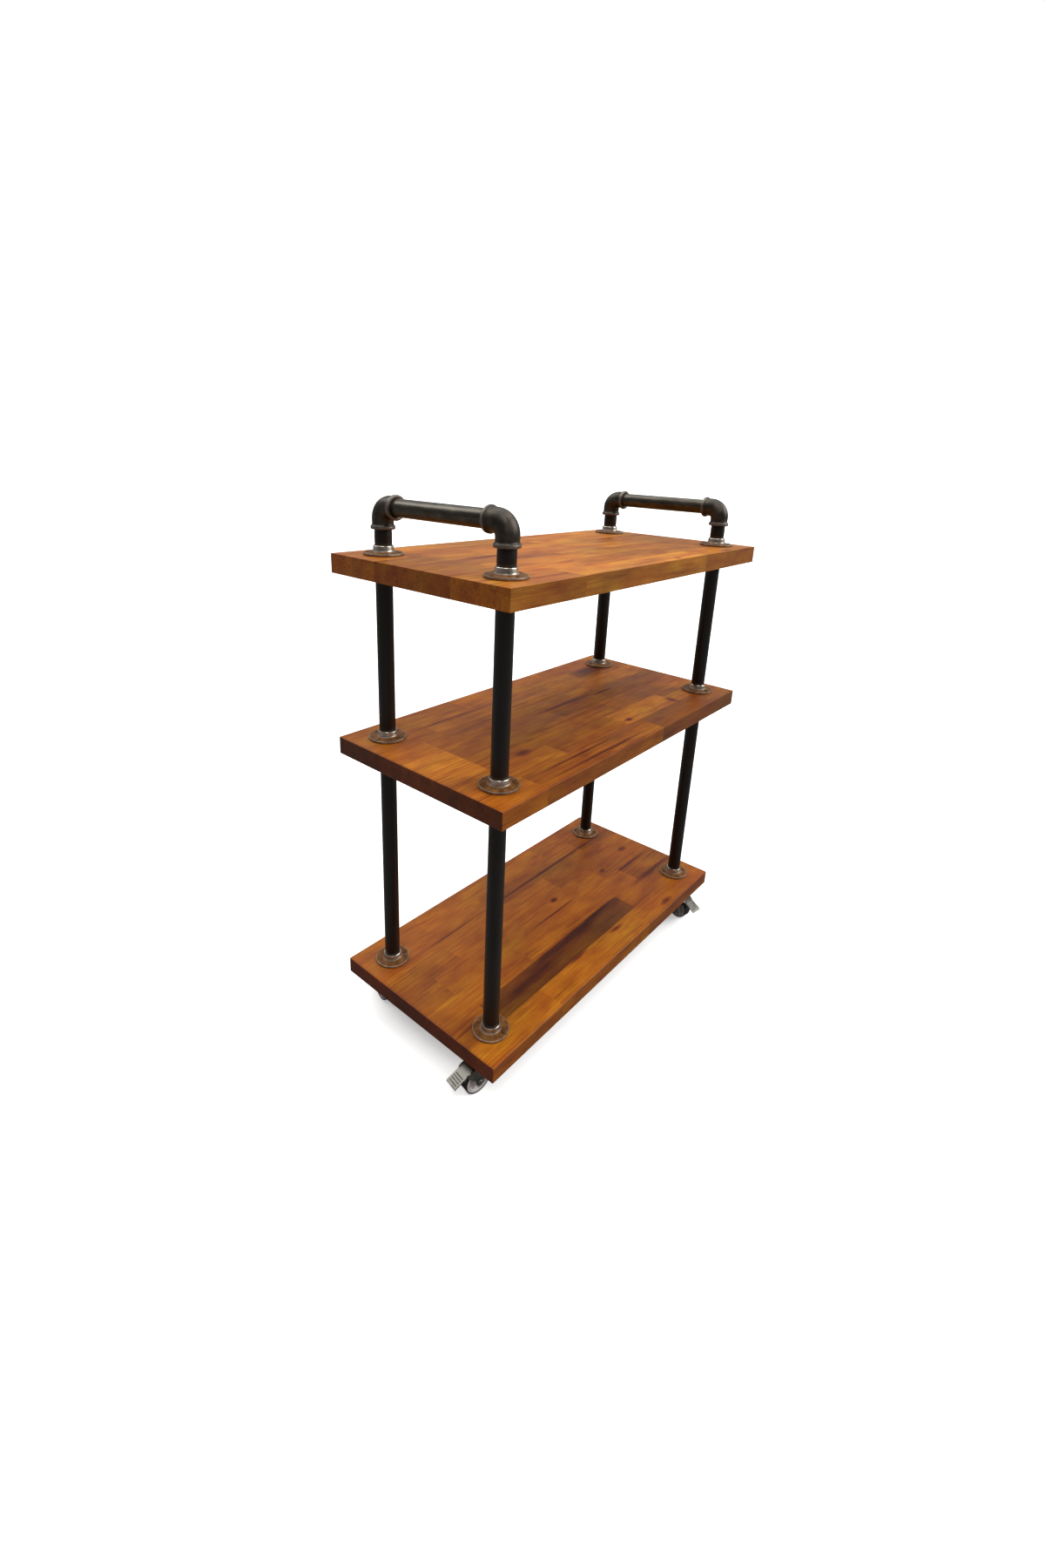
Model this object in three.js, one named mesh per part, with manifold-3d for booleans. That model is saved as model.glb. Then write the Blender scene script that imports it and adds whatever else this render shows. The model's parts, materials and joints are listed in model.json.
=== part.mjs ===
/**
 * Bar cart on wheels: three wooden shelves carried by threaded black pipe and
 * floor flanges, a pipe handle at each end, and four braked swivel casters.
 *
 * Millimetres, +Z up. The origin is on the floor under the middle of the cart,
 * +X runs along the shelves and +Y runs towards the back.
 */
import * as THREE from 'three';
import { mergeVertices } from 'three/addons/utils/BufferGeometryUtils.js';
import Module from 'manifold-3d';

const wasm = await Module();
wasm.setup();

// Driving dimensions.
const SHELF = { length: 740, depth: 365, thickness: 30, corner: 3, ease: 1.2, hole: 14.3 };
const LEVELS = { bottom: 76, middle: 525, top: 828 };
const POST = { x: 314, y: 125.5 };
const PIPE = { outer: 13.45, bore: 10.65, butt: 5 };
const FLANGE = { outer: 31, disc: 4.2, hub: 15.8, height: 14.5, bore: 13.9, screwCircle: 23.5, screwHole: 2.4 };
const ELBOW = { reach: 33.3, bend: 19, body: 16.5, rim: 18.9, band: 5.6, socket: 14, passage: 10.6, engage: 11.5 };
const HANDLE_HEIGHT = 72;
const CASTER = { x: 320, y: 126, height: 76 };
const PLATE = { length: 60, width: 48, thickness: 2.5, corner: 5, holeX: 23, holeY: 17, hole: 2.75 };
const RACE = { outer: 20, lip: 18.4, bottom: 69.2, crown: 68.6, crownRadius: 19, crownUnder: 61 };
const KING_PIN = { radius: 4, clearance: 4.4, head: 7, headBottom: 58.2, headTop: 60.6 };
const FORK = { inner: 11.5, outer: 14, crownBack: -15, crownFront: 18, crownTop: 64 };
const WHEEL = { radius: 25, width: 20, trail: 25, core: 21.5, tyreBore: 21.8, bore: 3.3, hub: 7.5, hubHalf: 11 };
const AXLE = { radius: 3, head: 5.5, half: 16.6 };
const PEDAL = { pivotS: 44, pivotZ: 50, pin: 2, pinHole: 2.4, neck: 11, wide: 13.5, tipS: 76, sheet: 2 };

const SIDES = { pipe: 16, wheel: 28, core: 14, small: 8, screw: 5 };

// Which way each corner lies from the middle, and where its caster trails, in degrees from +X.
const CORNERS = {
  front_left: { x: -1, y: -1, trail: 170, flangeTurn: 18 },
  front_right: { x: 1, y: -1, trail: -102, flangeTurn: 52 },
  back_right: { x: 1, y: 1, trail: -10, flangeTurn: 33 },
  back_left: { x: -1, y: 1, trail: 78, flangeTurn: 70 },
};

const MATERIALS = {
  wood: () => new THREE.MeshStandardMaterial({ color: 0xa5602a, roughness: 0.45, metalness: 0 }),
  pipe: () => new THREE.MeshStandardMaterial({ color: 0x1c1b1d, roughness: 0.38, metalness: 0.8 }),
  flange: () => new THREE.MeshStandardMaterial({ color: 0x4a443f, roughness: 0.5, metalness: 0.9 }),
  castIron: () => new THREE.MeshStandardMaterial({ color: 0x55504a, roughness: 0.62, metalness: 0.85 }),
  zinc: () => new THREE.MeshStandardMaterial({ color: 0x9a9a98, roughness: 0.35, metalness: 1 }),
  rubber: () => new THREE.MeshStandardMaterial({ color: 0x151515, roughness: 0.85, metalness: 0 }),
  plastic: () => new THREE.MeshStandardMaterial({ color: 0xa09c9c, roughness: 0.55, metalness: 0 }),
};

const radians = THREE.MathUtils.degToRad;

/** A position-only, vertex-merged copy of a geometry as a solid for joining and cutting. */
function toSolid(geometry) {
  const source = geometry.clone();
  source.deleteAttribute('normal');
  source.deleteAttribute('uv');
  const merged = mergeVertices(source, 1e-4);
  return new wasm.Manifold(new wasm.Mesh({
    numProp: 3,
    vertProperties: new Float32Array(merged.attributes.position.array),
    triVerts: new Uint32Array(merged.index.array),
  }));
}

/** The geometry of a solid, flat shaded. */
function toGeometry(solid) {
  const { numProp, vertProperties, triVerts } = solid.getMesh();
  const positions = new Float32Array((vertProperties.length / numProp) * 3);
  for (let i = 0; i < positions.length / 3; i += 1) {
    positions.set(vertProperties.subarray(i * numProp, i * numProp + 3), i * 3);
  }
  const geometry = new THREE.BufferGeometry();
  geometry.setAttribute('position', new THREE.BufferAttribute(positions, 3));
  geometry.setIndex(new THREE.BufferAttribute(new Uint32Array(triVerts), 1));
  const flat = geometry.toNonIndexed();
  flat.computeVertexNormals();
  return flat;
}

/** Joins the first list of geometries and cuts the second list out of them. */
function combine(added, removed = []) {
  let solid = toSolid(added[0]);
  for (const geometry of added.slice(1)) solid = solid.add(toSolid(geometry));
  for (const geometry of removed) solid = solid.subtract(toSolid(geometry));
  return toGeometry(solid);
}

/** A closed (radius, height) profile turned about the Z axis. */
function turned(profile, sides) {
  const points = [...profile, profile[0]].map(([r, h]) => new THREE.Vector2(r, h));
  return new THREE.LatheGeometry(points, sides).rotateX(Math.PI / 2);
}

/** A rod along Z between two heights. */
function rod(radius, low, high, sides = SIDES.small) {
  return turned([[0, low], [radius, low], [radius, high], [0, high]], sides);
}

/** A rod along the Y axis, centred on (x, z). */
function crossRod(radius, half, x, z, sides = SIDES.small) {
  return rod(radius, -half, half, sides).rotateX(Math.PI / 2).translate(x, 0, z);
}

/** A side outline in (x, z) given its thickness between two y values. */
function sideSheet(outline, nearY, farY) {
  const shape = new THREE.Shape(outline.map(([x, z]) => new THREE.Vector2(x, z)));
  const geometry = new THREE.ExtrudeGeometry(shape, { depth: farY - nearY, bevelEnabled: false });
  return geometry.rotateX(Math.PI / 2).translate(0, farY, 0);
}

/** A rectangle with rounded corners, centred on the origin. */
function roundedRectangle(length, width, radius) {
  const [x, y] = [length / 2, width / 2];
  const shape = new THREE.Shape();
  shape.moveTo(-x + radius, -y);
  shape.lineTo(x - radius, -y);
  shape.absarc(x - radius, -y + radius, radius, -Math.PI / 2, 0);
  shape.lineTo(x, y - radius);
  shape.absarc(x - radius, y - radius, radius, 0, Math.PI / 2);
  shape.lineTo(-x + radius, y);
  shape.absarc(-x + radius, y - radius, radius, Math.PI / 2, Math.PI);
  shape.lineTo(-x, -y + radius);
  shape.absarc(-x + radius, -y + radius, radius, Math.PI, 1.5 * Math.PI);
  return shape;
}

/** A shelf board with eased edges, standing on z = 0; the posts pass through a drilled one. */
function shelfGeometry(drilled) {
  const { length, depth, thickness, corner, ease, hole } = SHELF;
  const shape = roundedRectangle(length - 2 * ease, depth - 2 * ease, corner - ease);
  const board = new THREE.ExtrudeGeometry(shape, {
    depth: thickness - 2 * ease,
    bevelThickness: ease,
    bevelSize: ease,
    bevelSegments: 1,
    curveSegments: 2,
  }).translate(0, 0, ease);
  const holes = !drilled ? [] : Object.values(CORNERS).map(({ x, y }) => (
    rod(hole, -1, thickness + 1, SIDES.pipe).translate(x * POST.x, y * POST.y, 0)));
  return combine([board], holes);
}

/** An open-ended pipe along Z. */
function pipeGeometry(length) {
  const { outer, bore } = PIPE;
  return turned([[bore, 0], [outer, 0], [outer, length], [bore, length]], SIDES.pipe);
}

/** A floor flange: a flat disc with a short hub and four screw holes. */
function flangeGeometry() {
  const { outer, disc, hub, height, bore, screwCircle, screwHole } = FLANGE;
  const body = turned([
    [bore, 0], [outer, 0], [outer, disc - 1], [outer - 1.5, disc], [hub + 1, disc + 0.8],
    [hub - 0.4, height], [bore, height],
  ], SIDES.pipe);
  const holes = [0, 1, 2, 3].map((i) => {
    const angle = i * Math.PI / 2;
    return rod(screwHole, -1, disc + 2, SIDES.screw)
      .translate(screwCircle * Math.cos(angle), screwCircle * Math.sin(angle), 0);
  });
  return combine([body], holes);
}

/** A banded elbow with one socket facing down and one facing +Y; its corner is the origin. */
function elbowGeometry() {
  const { reach, bend, body, rim, band, socket, passage } = ELBOW;
  const path = new THREE.CurvePath();
  path.add(new THREE.LineCurve3(new THREE.Vector3(0, 0, -reach), new THREE.Vector3(0, 0, -bend)));
  path.add(new THREE.QuadraticBezierCurve3(
    new THREE.Vector3(0, 0, -bend), new THREE.Vector3(0, 0, 0), new THREE.Vector3(0, bend, 0)));
  path.add(new THREE.LineCurve3(new THREE.Vector3(0, bend, 0), new THREE.Vector3(0, reach, 0)));
  const along = (radius, steps, sides) => {
    const section = new THREE.Shape();
    section.absarc(0, 0, radius, 0, 2 * Math.PI);
    return new THREE.ExtrudeGeometry(section, { steps, curveSegments: sides, extrudePath: path });
  };
  const rimBand = () => turned([
    [0, -reach], [rim - 0.8, -reach], [rim, 0.8 - reach],
    [rim, band - reach], [0, band - reach],
  ], SIDES.pipe);
  const bore = () => rod(FLANGE.bore, -reach - 1, socket - reach, SIDES.pipe);
  const sideways = (geometry) => geometry.rotateX(Math.PI / 2);
  return combine(
    [along(body, 5, 12), rimBand(), sideways(rimBand())],
    [along(passage, 4, 8), bore(), sideways(bore())],
  );
}

/** The fixed half of a caster: screw plate, upper race and the riveted king pin. */
function casterPlateGeometry() {
  const top = CASTER.height;
  const under = top - PLATE.thickness;
  const plate = new THREE.ExtrudeGeometry(
    roundedRectangle(PLATE.length, PLATE.width, PLATE.corner),
    { depth: PLATE.thickness, bevelEnabled: false, curveSegments: 2 },
  ).translate(0, 0, under);
  const race = turned([
    [0, RACE.bottom], [RACE.lip, RACE.bottom], [RACE.outer, RACE.bottom + 1.6],
    [RACE.outer, under + 1], [0, under + 1],
  ], SIDES.pipe);
  const pin = rod(KING_PIN.radius, KING_PIN.headTop - 0.5, RACE.bottom + 1);
  const head = rod(KING_PIN.head, KING_PIN.headBottom, KING_PIN.headTop);
  const holes = [[1, 1], [1, -1], [-1, -1], [-1, 1]].map(([x, y]) => (
    rod(PLATE.hole, under - 1, top + 1, SIDES.screw).translate(x * PLATE.holeX, y * PLATE.holeY, 0)));
  return combine([plate, race, pin, head], holes);
}

/** The swivelling fork: crown, lower race and two legs that hold the axle and the brake pin. */
function forkGeometry() {
  const { inner, outer, crownBack, crownFront, crownTop } = FORK;
  const leg = [
    [crownBack, crownTop], [crownBack, 59], [-8, 49], [16.5, 21], [20, 17], [25, 15.5],
    [30, 17], [33.5, 21.5], [38, 34], [48.5, 45.5], [50, 50], [48.3, 54], [44, 55.6],
    [32, 58], [crownFront + 4, 61.5], [crownFront, crownTop],
  ];
  const crown = sideSheet([
    [crownBack, RACE.crownUnder], [crownFront, RACE.crownUnder],
    [crownFront, crownTop], [crownBack, crownTop],
  ], -outer, outer);
  return combine(
    [
      crown,
      rod(RACE.crownRadius, crownTop - 1, RACE.crown, SIDES.pipe),
      sideSheet(leg, -outer, -inner),
      sideSheet(leg, inner, outer),
    ],
    [
      rod(KING_PIN.clearance, RACE.crownUnder - 1, RACE.crown + 1),
      crossRod(WHEEL.bore, outer + 1, WHEEL.trail, WHEEL.radius),
      crossRod(PEDAL.pinHole, outer + 1, PEDAL.pivotS, PEDAL.pivotZ),
    ],
  );
}

/** The riveted axle, along Y through the wheel's centre. */
function axleGeometry() {
  const { radius, head, half } = AXLE;
  const seat = FORK.outer + 0.3;
  return turned([
    [0, -half], [head - 1.2, -half], [head, -half + 1], [head, -seat], [radius, -seat],
    [radius, seat], [head, seat], [head, half - 1], [head - 1.2, half], [0, half],
  ], SIDES.small).rotateX(Math.PI / 2);
}

/** A ring about the Y axis, turned so that the tread stands on one of its flats. */
function wheelRing(profile, sides) {
  return turned(profile, sides).rotateX(-Math.PI / 2).rotateY(Math.PI / SIDES.wheel);
}

/** The wheel's core: a hub with a bore, a web and a rim. */
function wheelCoreGeometry() {
  const { core, bore, hub, hubHalf } = WHEEL;
  return wheelRing([
    [bore, -hubHalf], [hub, -hubHalf], [hub + 1, -7], [core, -9.2],
    [core, 9.2], [hub + 1, 7], [hub, hubHalf], [bore, hubHalf],
  ], SIDES.core);
}

/** The tread; its flats touch the floor. */
function wheelTyreGeometry() {
  const outer = WHEEL.radius / Math.cos(Math.PI / SIDES.wheel);
  const half = WHEEL.width / 2;
  return wheelRing([
    [WHEEL.tyreBore, 0.6 - half], [outer - 1.2, -half], [outer, 1.8 - half],
    [outer, half - 1.8], [outer - 1.2, half], [WHEEL.tyreBore, half - 0.6],
  ], SIDES.wheel);
}

/** The brake pedal: a sloping plate with two lugs on its pin and a shoe over the tread. */
function pedalGeometry() {
  const { pivotS, pivotZ, pin, neck, wide, tipS, sheet } = PEDAL;
  const slope = (s) => 57.5 - 0.43 * (s - 37);
  const strip = (from, to) => [
    [from, slope(from) - sheet], [to, slope(to) - sheet], [to, slope(to)], [from, slope(from)],
  ];
  const lug = [
    [39.6, 55.6], [39.6, 49], [41.6, 46], [46.2, 45.8], [48.4, 48.4], [49, 51],
  ];
  const shoe = [
    [44.5, 52.6], [46.5, 44], [49, 39.4], [51, 37.5], [53, 37.4], [54, 40], [51.5, 50.5],
  ];
  return combine([
    sideSheet(strip(37, 52), -neck, neck),
    sideSheet(strip(51.2, tipS), -wide, wide),
    sideSheet(lug, -neck, 2 - neck),
    sideSheet(lug, neck - 2, neck),
    sideSheet(shoe, -neck + 2.5, neck - 2.5),
    crossRod(pin, FORK.outer + 1.2, pivotS, pivotZ),
  ]);
}

const cart = new THREE.Group();

/** Adds a named mesh to a group at a position. */
function place(group, name, geometry, material, position = [0, 0, 0], turn = 0) {
  const mesh = new THREE.Mesh(geometry, material());
  mesh.name = name;
  mesh.position.set(...position);
  mesh.rotation.z = turn;
  group.add(mesh);
  return mesh;
}

// Shelves.
const shelfTop = {};
for (const [level, z] of Object.entries(LEVELS)) {
  place(cart, `shelf_${level}`, shelfGeometry(level !== 'bottom'), MATERIALS.wood, [0, 0, z]);
  shelfTop[level] = z + SHELF.thickness;
}

// Frame: each post is a lower and an upper pipe that meet inside the middle flange.
const handleZ = shelfTop.top + HANDLE_HEIGHT;
const lowerJoint = shelfTop.middle + PIPE.butt;
const upperJoint = shelfTop.top + PIPE.butt;
const nippleEnd = handleZ - ELBOW.reach + ELBOW.engage;
for (const [corner, { x, y, flangeTurn }] of Object.entries(CORNERS)) {
  const [px, py] = [x * POST.x, y * POST.y];
  Object.entries(shelfTop).forEach(([level, z], i) => {
    place(cart, `flange_${level}_${corner}`, flangeGeometry(), MATERIALS.flange,
      [px, py, z], radians(flangeTurn + 31 * i));
  });
  place(cart, `post_lower_${corner}`, pipeGeometry(lowerJoint - shelfTop.bottom),
    MATERIALS.pipe, [px, py, shelfTop.bottom]);
  place(cart, `post_upper_${corner}`, pipeGeometry(upperJoint - lowerJoint),
    MATERIALS.pipe, [px, py, lowerJoint]);
  place(cart, `nipple_${corner}`, pipeGeometry(nippleEnd - upperJoint),
    MATERIALS.pipe, [px, py, upperJoint]);
  place(cart, `elbow_${corner}`, elbowGeometry(), MATERIALS.castIron,
    [px, py, handleZ], y > 0 ? Math.PI : 0);
}

// Handles: a pipe between the two elbows at each end.
const handleHalf = POST.y - ELBOW.reach + ELBOW.engage;
for (const [side, x] of [['left', -1], ['right', 1]]) {
  const bar = place(cart, `handle_${side}`, pipeGeometry(2 * handleHalf), MATERIALS.pipe,
    [x * POST.x, handleHalf, handleZ]);
  bar.rotation.x = Math.PI / 2;
}

// Casters: the plate is fixed, and the rest swivels about the king pin.
for (const [corner, { x, y, trail }] of Object.entries(CORNERS)) {
  const caster = new THREE.Group();
  caster.position.set(x * CASTER.x, y * CASTER.y, 0);
  place(caster, `caster_plate_${corner}`, casterPlateGeometry(), MATERIALS.zinc);
  const swivel = new THREE.Group();
  swivel.rotation.z = radians(trail);
  place(swivel, `caster_fork_${corner}`, forkGeometry(), MATERIALS.zinc);
  const hub = [WHEEL.trail, 0, WHEEL.radius];
  place(swivel, `caster_axle_${corner}`, axleGeometry(), MATERIALS.zinc, hub);
  place(swivel, `wheel_core_${corner}`, wheelCoreGeometry(), MATERIALS.plastic, hub);
  place(swivel, `wheel_tyre_${corner}`, wheelTyreGeometry(), MATERIALS.rubber, hub);
  place(swivel, `brake_pedal_${corner}`, pedalGeometry(), MATERIALS.zinc);
  caster.add(swivel);
  cart.add(caster);
}

export default cart;
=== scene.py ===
"""Dresses a bar cart on wheels: stained boards on threaded pipe, with braked swivel casters.

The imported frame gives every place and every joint. All sizes here are millimetres in the
cart's own frame (+X along the boards, +Y to the back, +Z up from the floor) and become metres
only when a mesh is made.
"""

import json
import logging
import math
from collections.abc import Callable, Iterable, Sequence
from dataclasses import dataclass, field
from enum import Enum
from typing import Any

import bmesh
import bpy
from mathutils import Matrix, Vector, noise

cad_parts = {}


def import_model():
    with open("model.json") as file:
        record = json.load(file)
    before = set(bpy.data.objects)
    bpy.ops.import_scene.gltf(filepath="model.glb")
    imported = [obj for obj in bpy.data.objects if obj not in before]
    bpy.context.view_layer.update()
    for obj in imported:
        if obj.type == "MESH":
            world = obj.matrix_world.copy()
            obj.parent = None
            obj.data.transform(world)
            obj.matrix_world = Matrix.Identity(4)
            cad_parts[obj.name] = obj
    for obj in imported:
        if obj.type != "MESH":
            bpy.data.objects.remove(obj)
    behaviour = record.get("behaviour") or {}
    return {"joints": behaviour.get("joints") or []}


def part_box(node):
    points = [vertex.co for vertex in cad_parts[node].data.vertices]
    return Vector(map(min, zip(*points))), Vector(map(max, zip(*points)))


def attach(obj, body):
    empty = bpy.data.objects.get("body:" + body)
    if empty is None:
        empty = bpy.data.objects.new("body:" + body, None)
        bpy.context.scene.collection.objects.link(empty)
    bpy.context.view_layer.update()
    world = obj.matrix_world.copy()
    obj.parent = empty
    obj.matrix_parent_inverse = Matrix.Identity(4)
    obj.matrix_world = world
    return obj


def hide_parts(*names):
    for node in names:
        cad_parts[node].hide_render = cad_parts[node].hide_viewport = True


frame: dict[str, Any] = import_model()

LOG = logging.getLogger("bar_cart")
METRES = 0.001
ROOT = "cart_frame"
CORNERS = ("front_left", "front_right", "back_right", "back_left")
LEVELS = ("bottom", "middle", "top")

Point = tuple[float, float]


# ---------------------------------------------------------------- meshes


class Plane(Enum):
    """The plane an outline is drawn in; it is drawn out along the axis left over."""

    PLAN = (0, 1, 2)
    SIDE = (0, 2, 1)
    FRONT = (1, 2, 0)


class Joining(Enum):
    """What a second solid does to the first."""

    ADD = "UNION"
    CUT = "DIFFERENCE"
    KEEP = "INTERSECT"


@dataclass
class Shape:
    """Points and faces in millimetres."""

    points: list[Vector] = field(default_factory=list)
    faces: list[tuple[int, ...]] = field(default_factory=list)

    @classmethod
    def turned(cls, profile: Sequence[Point], sides: int = 48, looped: bool = False) -> "Shape":
        """Turns a profile about the Z axis.

        Args:
            profile: Radius and height pairs; a radius of zero makes a pole.
            sides: Number of steps round the axis.
            looped: True if the last point joins the first, as in a ring.

        Returns:
            The turned shape.
        """
        shape = cls()
        rows: list[list[int]] = []
        for radius, height in profile:
            count = sides if radius > 1e-6 else 1
            rows.append(list(range(len(shape.points), len(shape.points) + count)))
            for i in range(count):
                angle = 2 * math.pi * i / sides
                shape.points.append(Vector((radius * math.cos(angle), radius * math.sin(angle), height)))
        shape.bridge(rows, looped)
        return shape

    @classmethod
    def swept(cls, rings: Sequence[Sequence[Vector]]) -> "Shape":
        """Joins equal rings of points into a tube whose last ring meets its first.

        Args:
            rings: The rings in order, each with the same number of points.

        Returns:
            The closed tube.
        """
        shape = cls()
        rows = []
        for ring in rings:
            rows.append(list(range(len(shape.points), len(shape.points) + len(ring))))
            shape.points.extend(ring)
        shape.bridge(rows, True)
        return shape

    @classmethod
    def drawn(cls, outline: Sequence[Point], low: float, high: float, plane: Plane) -> "Shape":
        """Draws a flat outline out between two distances.

        Args:
            outline: Corner points in the plane.
            low: Where the shape starts along the axis left over.
            high: Where it ends.
            plane: The outline's plane.

        Returns:
            The closed prism.
        """
        u, v, w = plane.value
        shape = cls()
        for depth in (low, high):
            for a, b in outline:
                point = Vector((0, 0, 0))
                point[u], point[v], point[w] = a, b, depth
                shape.points.append(point)
        count = len(outline)
        shape.faces = [tuple(range(count)), tuple(range(2 * count - 1, count - 1, -1))]
        shape.faces += [(i, (i + 1) % count, count + (i + 1) % count, count + i) for i in range(count)]
        return shape

    def bridge(self, rows: list[list[int]], looped: bool) -> None:
        """Adds the faces between neighbouring rows of points.

        Args:
            rows: Point numbers row by row; a row of one is a pole.
            looped: True if the last row joins the first.
        """
        pairs = list(zip(rows, rows[1:])) + ([(rows[-1], rows[0])] if looped else [])
        for low, high in pairs:
            sides = max(len(low), len(high))
            for i in range(sides):
                j = (i + 1) % sides
                if len(low) == 1:
                    self.faces.append((low[0], high[j], high[i]))
                elif len(high) == 1:
                    self.faces.append((low[i], low[j], high[0]))
                else:
                    self.faces.append((low[i], low[j], high[j], high[i]))

    def at(self, matrix: Matrix) -> "Shape":
        """A copy moved by a matrix."""
        return Shape([matrix @ point for point in self.points], list(self.faces))

    def plus(self, other: "Shape") -> "Shape":
        """Both shapes side by side in one mesh."""
        moved = [tuple(i + len(self.points) for i in face) for face in other.faces]
        return Shape(self.points + other.points, self.faces + moved)

    def make(self, name: str, sharp: float = 32.0) -> bpy.types.Object:
        """Makes a Blender object in metres with faces pointing out.

        Args:
            name: The piece's name.
            sharp: Edges that turn more than this many degrees stay crisp.

        Returns:
            The new object, linked to the scene.
        """
        mesh = bpy.data.meshes.new(name)
        mesh.from_pydata([point * METRES for point in self.points], [], self.faces)
        body = bmesh.new()
        body.from_mesh(mesh)
        bmesh.ops.recalc_face_normals(body, faces=body.faces)
        body.to_mesh(mesh)
        body.free()
        piece = bpy.data.objects.new(name, mesh)
        bpy.context.scene.collection.objects.link(piece)
        smooth(piece, sharp)
        return piece


def smooth(piece: bpy.types.Object, sharp: float = 32.0) -> None:
    """Shades a piece smooth, with edges over the angle kept crisp."""
    piece.data.shade_smooth()
    piece.data.set_sharp_from_angle(angle=math.radians(sharp))


def settle_modifiers(piece: bpy.types.Object) -> None:
    """Turns a piece's modifiers into plain mesh.

    Args:
        piece: The piece to change.
    """
    graph = bpy.context.evaluated_depsgraph_get()
    done = bpy.data.meshes.new_from_object(piece.evaluated_get(graph))
    old = piece.data
    piece.modifiers.clear()
    piece.data = done
    bpy.data.meshes.remove(old)


def work(piece: bpy.types.Object, tool: Shape, how: Joining) -> None:
    """Joins, cuts or keeps part of a piece with a tool shape.

    Args:
        piece: The piece to change.
        tool: The closed shape to use on it.
        how: What the tool does.
    """
    other = tool.make("tool")
    modifier = piece.modifiers.new("work", "BOOLEAN")
    modifier.operation = how.value
    modifier.solver = "EXACT"
    modifier.object = other
    settle_modifiers(piece)
    bpy.data.objects.remove(other)


def soften(piece: bpy.types.Object, width: float, segments: int = 2, turn: float = 35.0) -> None:
    """Rounds the crisp edges of a piece.

    Args:
        piece: The piece to change.
        width: Edge width in millimetres.
        segments: Steps across each rounded edge.
        turn: Edges that turn less than this many degrees are left.
    """
    bevel = piece.modifiers.new("edges", "BEVEL")
    bevel.width = width * METRES
    bevel.segments = segments
    bevel.limit_method = "ANGLE"
    bevel.angle_limit = math.radians(turn)
    bevel.use_clamp_overlap = True
    piece.modifiers.new("normals", "WEIGHTED_NORMAL").keep_sharp = True
    smooth(piece, 60)
    settle_modifiers(piece)


def rounded(outline: Sequence[Point], radius: float, steps: int = 4) -> list[Point]:
    """Rounds the corners of a closed outline.

    Args:
        outline: Corner points in order.
        radius: How far back from each corner its curve starts, at most.
        steps: Points along each curve, less one.

    Returns:
        The outline with a curve in place of each corner.
    """
    curved: list[Point] = []
    count = len(outline)
    for i, corner in enumerate(outline):
        here = Vector(corner)
        back, ahead = Vector(outline[i - 1]) - here, Vector(outline[(i + 1) % count]) - here
        start = here + back.normalized() * min(radius, back.length * 0.45)
        end = here + ahead.normalized() * min(radius, ahead.length * 0.45)
        for k in range(steps + 1):
            t = k / steps
            point = start * (1 - t) ** 2 + here * 2 * t * (1 - t) + end * t ** 2
            curved.append((point.x, point.y))
    return curved


def rectangle(x: float, y: float, radius: float = 0.0, steps: int = 4) -> list[Point]:
    """A centred rectangle with these half sizes and rounded corners."""
    corners = [(-x, -y), (x, -y), (x, y), (-x, y)]
    return rounded(corners, radius, steps) if radius else corners


def shift(x: float = 0.0, y: float = 0.0, z: float = 0.0) -> Matrix:
    """A plain move in millimetres."""
    return Matrix.Translation((x, y, z))


def spin(degrees: float, axis: str = "Z") -> Matrix:
    """A plain turn about an axis through the origin."""
    return Matrix.Rotation(math.radians(degrees), 4, axis)


def mark(piece: bpy.types.Object, name: str, rule: Callable[[Vector, Vector], float]) -> None:
    """Stores a number at each point of a piece for its material to read.

    Args:
        piece: The piece to mark.
        name: The attribute's name.
        rule: Gives the number from a point in millimetres and its normal.
    """
    mesh = piece.data
    values = mesh.attributes.new(name, "FLOAT", "POINT")
    for vertex, value in zip(mesh.vertices, values.data):
        value.value = rule(vertex.co / METRES, vertex.normal)


# ---------------------------------------------------------------- materials


def linear(colour: str) -> tuple[float, float, float, float]:
    """Turns an sRGB hex colour into linear values with full alpha."""
    channels = [int(colour[i:i + 2], 16) / 255 for i in (1, 3, 5)]
    return (*(c / 12.92 if c <= 0.04045 else ((c + 0.055) / 1.055) ** 2.4 for c in channels), 1.0)


def add_node(tree: bpy.types.NodeTree, kind: str, inputs: dict[str | int, Any] | None = None,
             stops: Sequence[tuple[float, str]] = (), **settings: Any) -> bpy.types.Node:
    """Adds one node with its settings, values and links.

    Args:
        tree: The material's node tree.
        kind: The node's type name without its ShaderNode prefix.
        inputs: Socket names or numbers, each with a value or the output socket to link.
        stops: Places and colours of a colour ramp.
        **settings: The node's own properties.

    Returns:
        The new node.
    """
    node = tree.nodes.new("ShaderNode" + kind)
    for name, value in settings.items():
        setattr(node, name, value)
    for key, value in (inputs or {}).items():
        if isinstance(value, bpy.types.NodeSocket):
            tree.links.new(value, node.inputs[key])
        else:
            node.inputs[key].default_value = value
    for i, (position, colour) in enumerate(stops):
        elements = node.color_ramp.elements
        element = elements[i] if i < 2 else elements.new(position)
        element.position = position
        element.color = linear(colour)
    return node


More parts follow.
